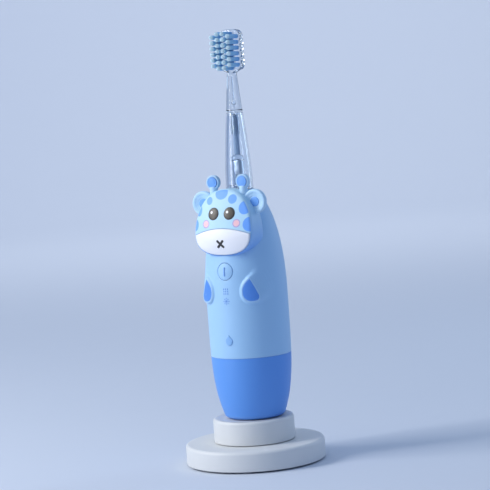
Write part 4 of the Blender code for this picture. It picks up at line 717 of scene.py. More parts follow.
def round_front(radius, lift, z0, sides=64):
    """Ring about a line to the front at height z0, lying on the handle with its lift."""
    ring = []
    for i in range(sides):
        a = 2 * pi * i / sides
        x, z = radius * cos(a), z0 + radius * sin(a)
        wide = handle_radius(z)
        ring.append((x, AXIS[1] - sqrt(wide * wide - x * x) - lift, z))
    return ring


button_hole = woven("button_hole", [round_front(r, lift, BUTTON_Z) for r, lift in hole_rows])
cut_out(soft_sleeve, button_hole)
soft_touch = moulded("soft_touch_blue", SLEEVE_BLUE, 0.46, grain=3000.0, depth=0.14, drift=0.12, worn=0.15,
                     Sheen_Weight=0.12, Sheen_Roughness=0.5)
fit(soft_sleeve, soft_touch, "handle", "sleeve_soft_touch", "sleeve")

# Paw patches: deep blue inlays pressed into the ends of the arms, a leaf with its point upwards,
# each slightly crowned and set in a soft light blue rim.


def raised_plate(name, shape, surface, proud, rounding, depth, crown=0.0, rings=5, centre=None):
    """Thin plate on a surface, with a rounded edge, a crowned face and a sunk back."""
    count = len(shape)
    if centre is None:
        centre = (sum(p[0] for p in shape) / count, sum(p[1] for p in shape) / count)
    reach = sum(hypot(x - centre[0], z - centre[1]) for x, z in shape) / count
    levels = []
    for k in range(rings + 1):
        share = k / rings * (1 - rounding / reach)
        levels.append((share, proud + crown * (1 - share * share)))
    for k in range(1, 7):
        bend = pi / 2 * k / 6
        share = 1 - rounding / reach * (1 - sin(bend))
        levels.append((share, proud - rounding * (1 - cos(bend)) + crown * (1 - share * share)))
    levels += [(1.0, -depth), (0.0, -depth)]
    rows = []
    for share, lift in levels:
        rows.append([surface(centre[0] + (x - centre[0]) * share, centre[1] + (z - centre[1]) * share, lift)
                     for x, z in shape])
    return woven(name, rows)


patch_blue = moulded("patch_blue_satin", (0.145, 0.380, 0.850), 0.40, depth=0.10, drift=0.14, worn=0.2)
paw_blue = moulded("paw_blue_satin", (0.085, 0.265, 0.740), 0.40, depth=0.10, drift=0.14, worn=0.2)
for side, word in ((-1, "left"), (1, "right")):
    def arm_end(x, z, lift, side=side):
        return on_handle(side * (ARM_TURN + x / arm_radius), ARM_Z + z, lift)
    paw = raised_plate(f"paw_inlay_{word}", paw_shape, arm_end, 0.14 * MM, 0.25 * MM, 0.5 * MM,
                       0.08 * MM, 12)
    fit(paw, paw_blue, "handle", "deep_blue_plastic", f"paw_patch_{word}")

# Small raised water drop low on the front of the sleeve, moulded with it, coloured a deeper blue as painted
# shade of its relief.

DROP_Z = HANDLE_BOTTOM + 37.9 * MM
DROP_HEIGHT = 2.4 * MM
DROP_HALF_WIDTH = 1.85 * MM
drop_shape = []
for k in range(40):
    a = 2 * pi * k / 40
    narrow = 1 - 0.62 * smooth(sin(a)) if sin(a) > 0 else 1.0
    point = 0.2 * MM * (sin(a) > 0.999)
    drop_shape.append((DROP_HALF_WIDTH * cos(a) * narrow, DROP_HEIGHT * sin(a) + point))


def front_skin(z0):
    def place(x, z, lift):
        wide = handle_radius(z0 + z)
        return (x, AXIS[1] - sqrt(wide * wide - x * x) - lift, z0 + z)
    return place


drop_mark = raised_plate("drop_mark", drop_shape, front_skin(DROP_Z), 0.35 * MM, 0.3 * MM, 0.3 * MM,
                         0.05 * MM)
# Painted shade: the drop's deeper blue stands in for the shadow round its relief.
drop_shade_blue = moulded("drop_shade_blue", (0.240, 0.470, 0.810), 0.42, grain=3000.0, depth=0.10, worn=0.2)
fit(drop_mark, drop_shade_blue, "handle", "sleeve_soft_touch")

# Power button: a soft cap moulded in the sleeve's blue, slightly domed, with a raised bar in a
# deeper blue. It floats in its hole on the plunger of the switch.

bar_shape = oblong(0.32 * MM, 2.1 * MM, 0.31 * MM, 6)
BAR_PROUD = 0.3 * MM
CAP_PROUD = 0.12 * MM              # at its edge
CAP_DOME = 0.40 * MM
CAP_EDGE = 0.30 * MM


def cap_skin(x, z, lift):
    wide = handle_radius(BUTTON_Z + z)
    rise = CAP_PROUD + CAP_DOME * (1 - (x * x + z * z) / BUTTON_RADIUS ** 2)
    return (x, AXIS[1] - sqrt(wide * wide - x * x) - rise - lift, BUTTON_Z + z)


def disc_shape(radius, sides, x=0.0, z=0.0):
    """Points round a circle."""
    turns = [2 * pi * i / sides for i in range(sides)]
    return [(x + radius * cos(a), z + radius * sin(a)) for a in turns]


cap_shape = disc_shape(BUTTON_RADIUS, 72)
button_cap = raised_plate("button_cap", cap_shape, cap_skin, 0.0, CAP_EDGE, 2.1 * MM, 0.0, 6)
button_bar = raised_plate("button_bar", bar_shape, cap_skin, BAR_PROUD * 0.9, 0.12 * MM, 0.1 * MM)
fit(button_cap, soft_touch, "button", "sleeve_soft_touch", "power_button")
bar_blue = moulded("bar_blue", (0.16, 0.34, 0.74), 0.42)
fit(button_bar, bar_blue, "button", "deep_blue_plastic")
dress(black_insert, "switch_plunger", "tact_switch")

# Mode lights: two small translucent windows flush with the sleeve. The upper one carries a grid of
# short bars and the lower one a little sun, both pad-printed in a deeper blue.

window_plastic = moulded("window_plastic", (0.36, 0.60, 0.90), 0.30, worn=0.0, Coat_Weight=0.2)
print_blue = moulded("print_blue", (0.13, 0.30, 0.70), 0.50, worn=0.0)
PRINT = 0.03 * MM


def stroke(name, start, end, width, surface):
    """Flat printed stroke with round ends between two points."""
    a, b = Vector(start), Vector(end)
    along = (b - a).normalized()
    across = Vector((-along.y, along.x))
    shape = []
    for middle, facing in ((b, 1), (a, -1)):
        for k in range(5):
            bend = pi * (k / 4 - 0.5)
            shape.append(tuple(middle + width / 2 * facing * (along * cos(bend) + across * sin(bend))))
    return raised_plate(name, shape, surface, 3 * PRINT, PRINT, 0.05 * MM, rings=1)


for number in (1, 2):
    lens_box = measure(f"indicator_lens_{number}")
    lens_shape = disc_shape(lens_box.half, 40)
    skin = front_skin(lens_box.mid[2])
    window = raised_plate(f"mode_window_{number}", lens_shape, skin, 0.03 * MM, 0.03 * MM, 0.5 * MM)
    fit(window, window_plastic, "handle", "lens_plastic", f"indicator_lens_{number}")
    strokes = []
    if number == 1:
        for column in (-1, 0, 1):
            for row in (-1, 0, 1):
                x, z = 1.0 * MM * column, 1.05 * MM * row
                strokes.append(stroke("bar", (x, z - 0.2 * MM), (x, z + 0.2 * MM), 0.44 * MM, skin))
    else:
        for ray in range(8):
            a = 2 * pi * ray / 8
            reach = Vector((cos(a), sin(a)))
            strokes.append(stroke("ray", reach * 0.95 * MM, reach * 1.5 * MM, 0.3 * MM, skin))
        strokes.append(stroke("disc", (-0.02 * MM, 0), (0.02 * MM, 0), 1.1 * MM, skin))
    fit(joined(f"mode_print_{number}", strokes), print_blue, "handle", "deep_blue_plastic")

# Giraffe's head: a light blue soft-touch shell clipped to the front of the sleeve, its blue painted paler
# than the sleeve's as painted light on the front. The crowned front carries pad-printed spots and pink
# cheeks and has a pocket for the muzzle.

HEAD_Z = SHOULDER - 19.2 * MM
HEAD_HALF_WIDTH = 15.2 * MM
HEAD_RISE = 20.4 * MM
HEAD_DROP = 10.3 * MM
POWER_TOP, POWER_BOTTOM = 2.2, 2.4
HEAD_LEAN = 0.20
HEAD_BULGE = 2.4 * MM
HEAD_EDGE = 1.25 * MM
head_front = handle_radius(HEAD_Z - HEAD_DROP) + 0.3 * MM
head_back = AXIS[1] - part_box("face_shell")[1].y
# Painted light: the face takes a paler blue than the sleeve's, for the light falling on its front.
FACE_LIT_BLUE = (0.460, 0.710, 0.880)
SPOT_BLUE = (0.150, 0.390, 0.945)
# Painted shade: the head's sides and the rim under the muzzle turn this deeper blue towards the chin.
CHIN_SHADE_BLUE = (0.180, 0.420, 0.900)
CHEEK_PINK = (0.950, 0.560, 0.600)
CHEEK_RING = (0.480, 0.400, 0.680)


def head_outline(inset=0.0, sides=160):
    points = []
    for i in range(sides):
        a = 2 * pi * i / sides
        c, s = cos(a), sin(a)
        power = 2 / (POWER_TOP if s > 0 else POWER_BOTTOM)
        height = (HEAD_RISE if s > 0 else HEAD_DROP) - inset
        x = (HEAD_HALF_WIDTH - inset) * abs(c) ** power * (1 if c > 0 else -1)
        points.append((x, height * abs(s) ** power * (1 if s > 0 else -1)))
    return points


def head_share(x, y):
    power = POWER_TOP if y > 0 else POWER_BOTTOM
    height = HEAD_RISE if y > 0 else HEAD_DROP
    return (abs(x / HEAD_HALF_WIDTH) ** power + abs(y / height) ** power) ** (1 / power)


def face_depth(x, y):
    """How far the face stands in front of the handle's axis."""
    softened = (y + sqrt(y * y + (3 * MM) ** 2)) / 2
    return head_front - HEAD_LEAN * softened + HEAD_BULGE * max(0.0, 1 - head_share(x, y) ** 2)


def on_face(x, y, lift=0.0):
    return (x, AXIS[1] - face_depth(x, y) - lift, HEAD_Z + y)


outline = head_outline()
head_rows = []
FACE_RINGS = 30
for k in range(FACE_RINGS + 1):
    share = k / FACE_RINGS * (1 - HEAD_EDGE / HEAD_HALF_WIDTH)
    head_rows.append([on_face(x * share, y * share) for x, y in outline])
for k in range(1, 9):
    bend = pi / 2 * k / 8
    ring = []
    for (x, y), (ix, iy) in zip(outline, head_outline(HEAD_EDGE)):
        px, py = ix + (x - ix) * sin(bend), iy + (y - iy) * sin(bend)
        ring.append(on_face(px, py, -HEAD_EDGE * (1 - cos(bend))))
    head_rows.append(ring)
edge_ring = head_rows[-1]
BACK_EDGE = 0.8 * MM
back_y = AXIS[1] - head_back
for k in range(1, 9):
    head_rows.append([(x, y + (back_y - BACK_EDGE - y) * k / 8, z) for x, y, z in edge_ring])
for k in range(1, 6):
    bend = pi / 2 * k / 5
    ring = []
    for (x, y), (ix, iy) in zip(outline, head_outline(BACK_EDGE)):
        px, py = ix + (x - ix) * cos(bend), iy + (y - iy) * cos(bend)
        ring.append((px, back_y - BACK_EDGE * (1 - sin(bend)), HEAD_Z + py))
    head_rows.append(ring)
head_rows.append([(0, back_y, HEAD_Z)] * len(outline))
head_shell = woven("head_shell", head_rows)

# Round prints on the face: a mask that is 1 inside an upright oval and 0 outside it.
oval_tree, oval_in, oval_out = new_group(
    "oval_print",
    {"Across": 0.0, "Up": 0.0, "Half Width": 0.002, "Half Height": 0.002, "Hardness": 14.0},
    {"Mask": "Float"},
)
oval_place = add(oval_tree, "SeparateXYZ", {0: add(oval_tree, "TexCoord").outputs["Object"]}).outputs
oval_x = maths(oval_tree, "DIVIDE", maths(oval_tree, "SUBTRACT", oval_place["X"], oval_in["Across"]),
               oval_in["Half Width"])
oval_z = maths(oval_tree, "DIVIDE", maths(oval_tree, "SUBTRACT", oval_place["Z"], oval_in["Up"]),
               oval_in["Half Height"])
oval_reach = maths(oval_tree, "SQRT", maths(oval_tree, "ADD", maths(oval_tree, "POWER", oval_x, 2.0),
                                            maths(oval_tree, "POWER", oval_z, 2.0)))
oval_edge = maths(oval_tree, "MULTIPLY", maths(oval_tree, "SUBTRACT", 1.0, oval_reach), oval_in["Hardness"])
feed(oval_tree, oval_out["Mask"], maths(oval_tree, "ADD", oval_edge, 0.5, clamp=True))

face_lit_shaded_finish = moulded("face_soft_touch", FACE_LIT_BLUE, 0.46, grain=3000.0, depth=0.12, drift=0.08, worn=0.2,
                      Sheen_Weight=0.12, Sheen_Roughness=0.5)
face_tree = face_lit_shaded_finish.node_tree
front_mask = add(face_tree, "Attribute", attribute_name="printed").outputs["Fac"]
SPOTS = (                          # across, above the widest line, half width, half height
    (-1.0, 18.7, 3.3, 3.0), (5.1, 15.8, 2.2, 2.1), (-7.1, 15.3, 1.6, 1.8), (11.5, 11.7, 2.8, 3.0),
    (14.3, 4.2, 3.2, 3.3), (-15.2, 4.5, 2.6, 3.0), (-12.6, 11.0, 1.6, 2.6),
)
CHEEK_X, CHEEK_Y, CHEEK_RADIUS = 8.05, 4.9, 1.5
head_place = add(face_tree, "SeparateXYZ", {0: add(face_tree, "TexCoord").outputs["Object"]}).outputs
# Painted shade: away from the printed brow, the shell darkens to the deeper blue towards the chin.
shade_towards_chin = add(face_tree, "MapRange", {0: head_place["Z"], 1: HEAD_Z + 12 * MM, 2: HEAD_Z - 9 * MM,
                                           3: 0.0, 4: 1.0}).outputs[0]
above_muzzle = add(face_tree, "MapRange", {0: head_place["Z"], 1: HEAD_Z - 1 * MM, 2: HEAD_Z + 1 * MM,
                                           3: 0.0, 4: 1.0}).outputs[0]
on_brow = maths(face_tree, "MULTIPLY", front_mask, above_muzzle)
on_side = maths(face_tree, "SUBTRACT", 1.0, on_brow, clamp=True)
painted_chin_shade = maths(face_tree, "MULTIPLY", on_side, shade_towards_chin)
prints = [(*spot, SPOT_BLUE) for spot in SPOTS]
for side in (-1, 1):
    for radius, colour in ((CHEEK_RADIUS * 1.26, CHEEK_RING), (CHEEK_RADIUS * 0.94, CHEEK_PINK)):
        prints.append((side * CHEEK_X, CHEEK_Y, radius, radius, colour))


def oval(tree, across, up, half_width, half_height, **options):
    """Mask of one oval print, in metres from the axis and above the floor."""
    return use(tree, oval_tree, **{"Across": across, "Up": up, "Half Width": half_width,
                                   "Half Height": half_height, **options})["Mask"]


paint = blend(face_tree, painted_chin_shade, full(FACE_LIT_BLUE), full(CHIN_SHADE_BLUE))
for across, up, half_width, half_height, colour in prints:
    mark = oval(face_tree, across * MM, HEAD_Z + up * MM, half_width * MM, half_height * MM)
    paint = blend(face_tree, maths(face_tree, "MULTIPLY", mark, front_mask), paint, full(colour))


def repaint(finish, colour):
    """Gives a moulded material a colour that changes over its surface."""
    for node in finish.node_tree.nodes:
        if node.type == "GROUP" and node.node_tree == skin_tree:
            feed(finish.node_tree, node.inputs["Colour"], colour)


repaint(face_lit_shaded_finish, paint)


def mark_printed(obj, edge):
    """Marks the front of the head, where the prints are."""
    attribute = obj.data.attributes.new("printed", "FLOAT", "POINT")
    for vertex, value in zip(obj.data.vertices, attribute.data):
        x, y, z = vertex.co
        value.value = 1.0 if y < AXIS[1] - face_depth(x, z - HEAD_Z) + edge else 0.0


# Muzzle: a white satin plate snapped into the lower half of the face, with a printed cross.

MUZZLE_INSET = 0.8 * MM
MUZZLE_TOP = 2.6 * MM
MUZZLE_CORNER = -0.2 * MM


def muzzle_outline(grow=0.0, steps=36):
    inset = MUZZLE_INSET - grow
    corner = MUZZLE_CORNER + grow
    lower = [p for p in head_outline(inset, 200) if p[1] < corner - 0.3 * MM]
    start = min(range(len(lower)), key=lambda i: lower[i][0])
    lower = lower[start:] + lower[:start]
    left, right = lower[0][0], lower[-1][0]
    arc = []
    for share in spread(0, 1, steps):
        x = right + (left - right) * share
        arc.append((x, corner + (MUZZLE_TOP + grow - corner) * (1 - (2 * share - 1) ** 2)))
    return lower + arc


GROOVE = 0.22 * MM
pocket_shape = muzzle_outline(GROOVE)
middle = (0.0, -3.0 * MM)
pocket_rows = []
POCKET_DEPTH, POCKET_OVER = -0.7 * MM, 1 * MM
for share, lift in ((0, POCKET_DEPTH), (0.5, POCKET_DEPTH), (1, POCKET_DEPTH),
                    (1, POCKET_OVER), (0.5, POCKET_OVER), (0, POCKET_OVER)):
    pocket_rows.append([on_face(middle[0] + (x - middle[0]) * share, middle[1] + (y - middle[1]) * share,
                                lift) for x, y in pocket_shape])
pocket = woven("pocket", pocket_rows)
cut_out(head_shell, pocket)
mark_printed(head_shell, 0.3 * MM)
fit(head_shell, face_lit_shaded_finish, "handle", "face_soft_touch", "face_shell")

muzzle_plate = raised_plate("muzzle_plate", muzzle_outline(), on_face, 0.30 * MM, 0.45 * MM, 0.6 * MM,
                            0.35 * MM, 14, middle)
muzzle_white = moulded("muzzle_white", (0.905, 0.905, 0.940), 0.38, depth=0.08, drift=0.05, worn=0.0)
fit(muzzle_plate, muzzle_white, "handle", "muzzle_plastic", "muzzle")
CROSS_Y = -4.3 * MM
CROSS_HALF = 1.35 * MM
cross_ink = moulded("cross_ink", (0.030, 0.028, 0.030), 0.45, worn=0.0)


def on_muzzle(x, y, lift):
    share = hypot((x - middle[0]) / 13 / MM, (y - middle[1]) / 6.5 / MM)
    crown = 0.35 * MM * max(0.0, 1 - share * share * 0.9)
    return on_face(x, y, 0.27 * MM + crown + lift)


cross_strokes = []
for lean in (-1, 1):
    start = (-CROSS_HALF * lean, CROSS_Y - CROSS_HALF)
    end = (CROSS_HALF * lean, CROSS_Y + CROSS_HALF)
    cross_strokes.append(stroke("cross", start, end, 1.15 * MM, on_muzzle))
fit(joined("muzzle_cross", cross_strokes), cross_ink, "handle", "eye_plastic")

# Eyes: satin dark brown domes with a darker rim, pressed into the face, each with a small white disc at its
# upper left as a painted highlight.

EYE_Y = 9.4 * MM
EYE_WIDENING = 1.09                # each dome is this much wider than the plain solid it replaces
EYE_PROUD = 0.12 * MM
EYE_CROWN = 0.26 * MM
EYE_RIM = (0.030, 0.026, 0.024)
EYE_MIDDLE = (0.080, 0.066, 0.049)
eye_ink = moulded("eye_brown", EYE_MIDDLE, 0.42, depth=0.02, worn=0.0, Coat_Weight=0.12, Coat_Roughness=0.2)
eye_tree = eye_ink.node_tree
iris = full(EYE_RIM)
painted_highlight_white = moulded("painted_highlight_white", (0.95, 0.95, 0.96), 0.3, worn=0.0)
for side, word in ((-1, "left"), (1, "right")):
    eye_box = measure(f"eye_{word}")
    eye_x, eye_radius = eye_box.mid[0], eye_box.half * EYE_WIDENING
    eye_shape = disc_shape(eye_radius, 56, eye_x, EYE_Y)
    eye = raised_plate(f"eye_dome_{word}", eye_shape, on_face, EYE_PROUD, 0.25 * MM, 0.5 * MM, EYE_CROWN, 10)
    fit(eye, eye_ink, "handle", "eye_plastic", f"eye_{word}")
    inner = oval(eye_tree, eye_x, HEAD_Z + EYE_Y, eye_radius * 0.72, eye_radius * 0.72, Hardness=3.0)
    iris = blend(eye_tree, inner, iris, full(EYE_MIDDLE))

    def on_eye(x, y, lift, cx=eye_x, r=eye_radius):
        share = hypot(x - cx, y - EYE_Y) / r
        return on_face(x, y, EYE_PROUD + EYE_CROWN * (1 - share * share) + lift)

    # Painted highlight: a white disc where the light glints on each eye.
    highlight_shape = disc_shape(0.6 * MM, 24, eye_x - 0.90 * MM, EYE_Y + 0.70 * MM)
    painted_highlight = raised_plate(f"eye_painted_highlight_{word}", highlight_shape, on_eye, 0.03 * MM, 0.03 * MM, 0.05 * MM, rings=2)
    fit(painted_highlight, painted_highlight_white, "handle", "muzzle_plastic")
repaint(eye_ink, iris)

# Ears: round dished discs in light blue with a stepped inner ring and a blue patch, moulded behind
# the edge of the head. Horns: short discs on stems with a blue button let into each.


def facing_front(name, profile, x, z, front, sides=72):
    """Round object turned about a line to the front, from (radius, depth behind its front) points."""
    rows = []
    for radius, depth in profile:
        rows.append([(px, front + depth, pz) for px, pz in disc_shape(radius, sides, x, z)])
    return woven(name, rows)


HORN_STEM = 1.9 * MM
HORN_LIP = 0.15 * MM               # the disc is this much larger than the plain solid it replaces
CAP_FLARE = 0.1 * MM               # and so is the button in it
# Painted light: ears and horns take a paler blue than the sleeve's, for the light on their front faces.
lit_ear_blue = moulded("ear_lit_blue", (0.460, 0.690, 0.900), 0.46, grain=3000.0, depth=0.14, worn=0.15,
                     Sheen_Weight=0.12, Sheen_Roughness=0.5)
for word in ("left", "right"):
    ear_low, ear_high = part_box(f"ear_{word}")
    side = 1 if word == "right" else -1
    ear_radius = (ear_high.z - ear_low.z) / 2
    ear_x = ear_high.x - ear_radius if side > 0 else ear_low.x + ear_radius
    ear_z = (ear_low.z + ear_high.z) / 2
    ear_thick = ear_high.y - ear_low.y
    ear_profile = round_corners([
        (0, 0.75 * MM, 0),
        (2.6 * MM, 0.75 * MM, 0.3 * MM),
        (3.1 * MM, 0.45 * MM, 0.3 * MM),
        (3.7 * MM, 0.40 * MM, 0.3 * MM),
        (4.3 * MM, 0.02 * MM, 0.5 * MM),
        (ear_radius, 0, 0.75 * MM),
        (ear_radius, ear_thick, 0.8 * MM),
        (0, ear_thick, 0),
    ], 6)
    ear = facing_front(f"ear_disc_{word}", ear_profile, ear_x, ear_z, ear_low.y)
    fit(ear, lit_ear_blue, "handle", "face_soft_touch", f"ear_{word}")
    patch_profile = round_corners([
        (0, 0.42 * MM, 0), (2.25 * MM, 0.50 * MM, 0.25 * MM),
        (2.25 * MM, 1.1 * MM, 0.1 * MM), (0, 1.1 * MM, 0),
    ], 5)
    patch = facing_front(f"ear_inlay_{word}", patch_profile, ear_x, ear_z, ear_low.y)
    fit(patch, patch_blue, "handle", "deep_blue_plastic", f"ear_patch_{word}")

    cap_box, horn_box = measure(f"horn_cap_{word}"), measure(f"horn_{word}")
    horn_x, horn_z = cap_box.mid[0], cap_box.mid[2]
    horn_radius = horn_box.half + HORN_LIP
    horn_thick = horn_box.high.y - horn_box.low.y
    horn_profile = round_corners([
        (0, 0.50 * MM, 0),
        (2.65 * MM, 0.50 * MM, 0.1 * MM),
        (2.65 * MM, 0, 0.15 * MM),
        (horn_radius, 0, 0.55 * MM),
        (horn_radius, horn_thick, 0.6 * MM),
        (0, horn_thick, 0),
    ], 6)
    disc = facing_front("horn", horn_profile, horn_x, horn_z, horn_box.low.y, 64)
    stem_centre = (horn_x, horn_box.mid[1])
    stem_corners = [
        (0, horn_z - 2.0 * MM, 0), (HORN_STEM, horn_z - 2.0 * MM, 0.1 * MM),
        (HORN_STEM, horn_box.low.z - 1.2 * MM, 0.1 * MM),
        (0, horn_box.low.z - 1.2 * MM, 0),
    ]
    stem = turned("stem", round_corners(stem_corners, 5), stem_centre, 32)
    horn = joined(f"horn_disc_{word}", [disc, stem])
    fit(horn, lit_ear_blue, "handle", "face_soft_touch", f"horn_{word}")
    cap_radius = cap_box.half + CAP_FLARE
    cap_profile = round_corners([
        (0, -0.06 * MM, 0),
        (cap_radius * 0.62, -0.02 * MM, 0.2 * MM),
        (cap_radius * 0.70, 0.10 * MM, 0.1 * MM),
        (cap_radius * 0.78, 0.0, 0.1 * MM),
        (cap_radius, 0.02 * MM, 0.25 * MM),
        (cap_radius, 0.55 * MM, 0.1 * MM),
        (0, 0.55 * MM, 0),
    ], 5)
    cap = facing_front(f"horn_button_{word}", cap_profile, horn_x, horn_z, cap_box.low.y, 56)
    fit(cap, patch_blue, "handle", "deep_blue_plastic", f"horn_cap_{word}")

# Works inside the handle: watertight housing, seals, chassis, cell, motor and lights, all under the
# shells, in the grey, black and metal finishes of such parts.

dress(moulded("housing_plastic", (0.66, 0.69, 0.74), 0.45), "inner_housing")
dress(moulded("seal_rubber", (0.030, 0.030, 0.034), 0.66, grain=1500.0), "o_ring", "top_seal")
dress(moulded("cell_wrap", (0.060, 0.26, 0.22), 0.34, Coat_Weight=0.3), "battery_cell")
dress(moulded("light_resin", (0.90, 0.90, 0.82), 0.25), "led_1", "led_2")
dress(steel, "motor_can", "lower_bearing", "upper_bearing")

# Drive shaft: a ground steel pin with a flat, which the coupler of the brush grips.

shaft_box = measure("drive_shaft")
SHAFT_RADIUS = shaft_box.half
shaft_profile = round_corners([
    (0, shaft_box.low.z, 0), (SHAFT_RADIUS, shaft_box.low.z, 0.3 * MM),
    (SHAFT_RADIUS, SHOULDER + 2 * MM, 0.2 * MM),
    (SHAFT_RADIUS, shaft_box.high.z, 0.45 * MM), (0, shaft_box.high.z, 0),
])
flat_depth = SHAFT_RADIUS - 0.5 * MM
shaft_rows = []
for radius, z in shaft_profile:
    ring = []
    for i in range(64):
        a = 2 * pi * i / 64
        y = radius * sin(a)
        if z > SHOULDER + 2 * MM:
            y = max(y, -flat_depth)
        ring.append((radius * cos(a), AXIS[1] + y, z))
    shaft_rows.append(ring)
fit(woven("ground_shaft", shaft_rows), steel, "shaft", "steel", "drive_shaft")

# Brush neck: a long tapered tube in clear copolyester, hollow, standing on the shoulder. Inside it a
# coupler grips the shaft, and the brush head's peg closes it above.

neck_low, neck_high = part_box("neck_sleeve")
NECK_RADIUS = 6.4 * MM
NECK_TOP_RADIUS = 3.85 * MM
NECK_WALL = 1.1 * MM
NECK_LENGTH = neck_high.z - neck_low.z


def neck_radius(z):
    return NECK_RADIUS - (NECK_RADIUS - NECK_TOP_RADIUS) * ((z - neck_low.z) / NECK_LENGTH) ** 1.6


# Clear copolyester: faint flow waves and a breath of blue.
clear_copolyester, clear_tree, clear_shader = new_material(
    "clear_copolyester", {"Transmission Weight": 1.0, "IOR": 1.57})
clear_skin = use(clear_tree, skin_tree, Colour=full((0.90, 0.95, 1.0)), Roughness=0.04, Grain=220.0,
                 Drift=0.05)
feed(clear_tree, clear_shader["Base Color"], clear_skin["Colour"])
feed(clear_tree, clear_shader["Roughness"], maths(clear_tree, "MULTIPLY", clear_skin["Roughness"], 0.5))
roughen(clear_tree, clear_shader, 0.05, GRAIN_DEPTH, clear_skin["Height"])
neck_profile = [(neck_radius(z), z) for z in spread(neck_low.z + 0.5 * MM, neck_high.z - 0.45 * MM, 44)]
neck_profile += round_corners([
    (neck_radius(neck_high.z - 0.45 * MM), neck_high.z - 0.45 * MM, 0),
    (NECK_TOP_RADIUS, neck_high.z, 0.40 * MM),
    (NECK_TOP_RADIUS - NECK_WALL, neck_high.z, 0.15 * MM),
    (NECK_TOP_RADIUS - NECK_WALL, neck_high.z - 0.6 * MM, 0),
], 4)[1:]
neck_inside = spread(neck_high.z - 1 * MM, neck_low.z + 1 * MM, 40)
neck_profile += [(neck_radius(z) - NECK_WALL, z) for z in neck_inside]
neck_profile += round_corners([
    (neck_radius(neck_low.z) - NECK_WALL, neck_low.z + 0.5 * MM, 0),
    (neck_radius(neck_low.z) - NECK_WALL, neck_low.z, 0.2 * MM),
    (neck_radius(neck_low.z), neck_low.z, 0.4 * MM),
    (neck_radius(neck_low.z + 0.5 * MM), neck_low.z + 0.5 * MM, 0),
], 4)
clear_neck = turned("clear_neck", neck_profile, AXIS, 96)
fit(clear_neck, clear_copolyester, "brush_head", "clear_plastic", "neck_sleeve")

socket_box = measure("shaft_socket")
COUPLER_BORE = SHAFT_RADIUS + 0.3 * MM
COUPLER_RADIUS = COUPLER_BORE + 0.8 * MM
BORE_TOP = SHOULDER + 14.3 * MM
coupler_corners = [
    (0, BORE_TOP, 0),
    (COUPLER_BORE, BORE_TOP, 1.6 * MM),
    (COUPLER_BORE, socket_box.low.z, 0.2 * MM),
    (socket_box.half, socket_box.low.z, 0.2 * MM),
    (socket_box.half, socket_box.low.z + 1.2 * MM, 0.3 * MM),
    (COUPLER_RADIUS, socket_box.low.z + 1.2 * MM, 0.3 * MM),
    (COUPLER_RADIUS, BORE_TOP + 1.9 * MM, 2.0 * MM),
    (0, BORE_TOP + 1.9 * MM, 0),
]
clear_coupler = turned("clear_coupler", round_corners(coupler_corners, 10), AXIS, 64)
fit(clear_coupler, clear_copolyester, "brush_head", "clear_plastic", "shaft_socket")
CORE_RADIUS = 1.35 * MM
core_blue = moulded("coupler_core", (0.470, 0.620, 0.820), 0.30, worn=0.0, Coat_Weight=0.3)
brush_box = measure("brush_head_body")
core_corners = [
    (0, BORE_TOP + 1.5 * MM, 0), (CORE_RADIUS, BORE_TOP + 1.5 * MM, 0.9 * MM),
    (CORE_RADIUS, brush_box.low.z + 8.6 * MM, 0.3 * MM), (0, brush_box.low.z + 8.6 * MM, 0),
]
coupler_core = turned("coupler_core_rod", round_corners(core_corners), AXIS, 48)
fit(coupler_core, core_blue, "brush_head", "deep_blue_plastic")

# Brush head: peg, slim stem and bristle plate in one clear moulding with a cored-out stem. The
# twenty-six tufts are stapled in, each a bundle of fine nylon dyed blue, paling to almost white at the tips
# as painted sheen.

HEAD_BASE = neck_high.z + 0.3 * MM
PLATE_LENGTH = 20.0 * MM
PLATE_BOTTOM = brush_box.high.z - PLATE_LENGTH
PLATE_HALF_WIDTH = brush_box.half
PLATE_CORNER = 3.6 * MM
PLATE_FRONT = 1.0 * MM
PLATE_BACK = 3.0 * MM
PLATE_EDGE = 0.9 * MM
STEM_RADIUS = 2.3 * MM
PEG_RADIUS = 1.9 * MM
BORE_RADIUS = 1.5 * MM
CHANNEL = 0.28 * MM                # radius of the thin core hole up the stem
BULB = 0.72 * MM                   # and of the bubble that it widens into
SECTION_SIDES = 72


def section(half_width, front, back, corner, z):
    """Rounded section of the brush head, (x, y), going round from the right."""
    half = (front + back) / 2
    centre_y = AXIS[1] + (back - front) / 2
    corner = min(corner, half_width, half)
    ring = []
    for i in range(SECTION_SIDES):
        a = 2 * pi * (i + 0.5) / SECTION_SIDES
        c, s = cos(a), sin(a)
        x = (half_width - corner) * (1 if c > 0 else -1) * min(1.0, abs(c) * 3) + corner * c
        y = (half - corner) * (1 if s > 0 else -1) * min(1.0, abs(s) * 3) + corner * s
        ring.append((x, centre_y + y, z))
    return ring


def plate_half_width(z):
    """Half the plate's width at a height, following its rounded outline."""
    middle_z = PLATE_BOTTOM + PLATE_LENGTH / 2
    up = abs(z - middle_z) - (PLATE_LENGTH / 2 - PLATE_CORNER)
    if up <= 0:
        return PLATE_HALF_WIDTH
    return PLATE_HALF_WIDTH - PLATE_CORNER + sqrt(max(0.0, PLATE_CORNER ** 2 - up * up))


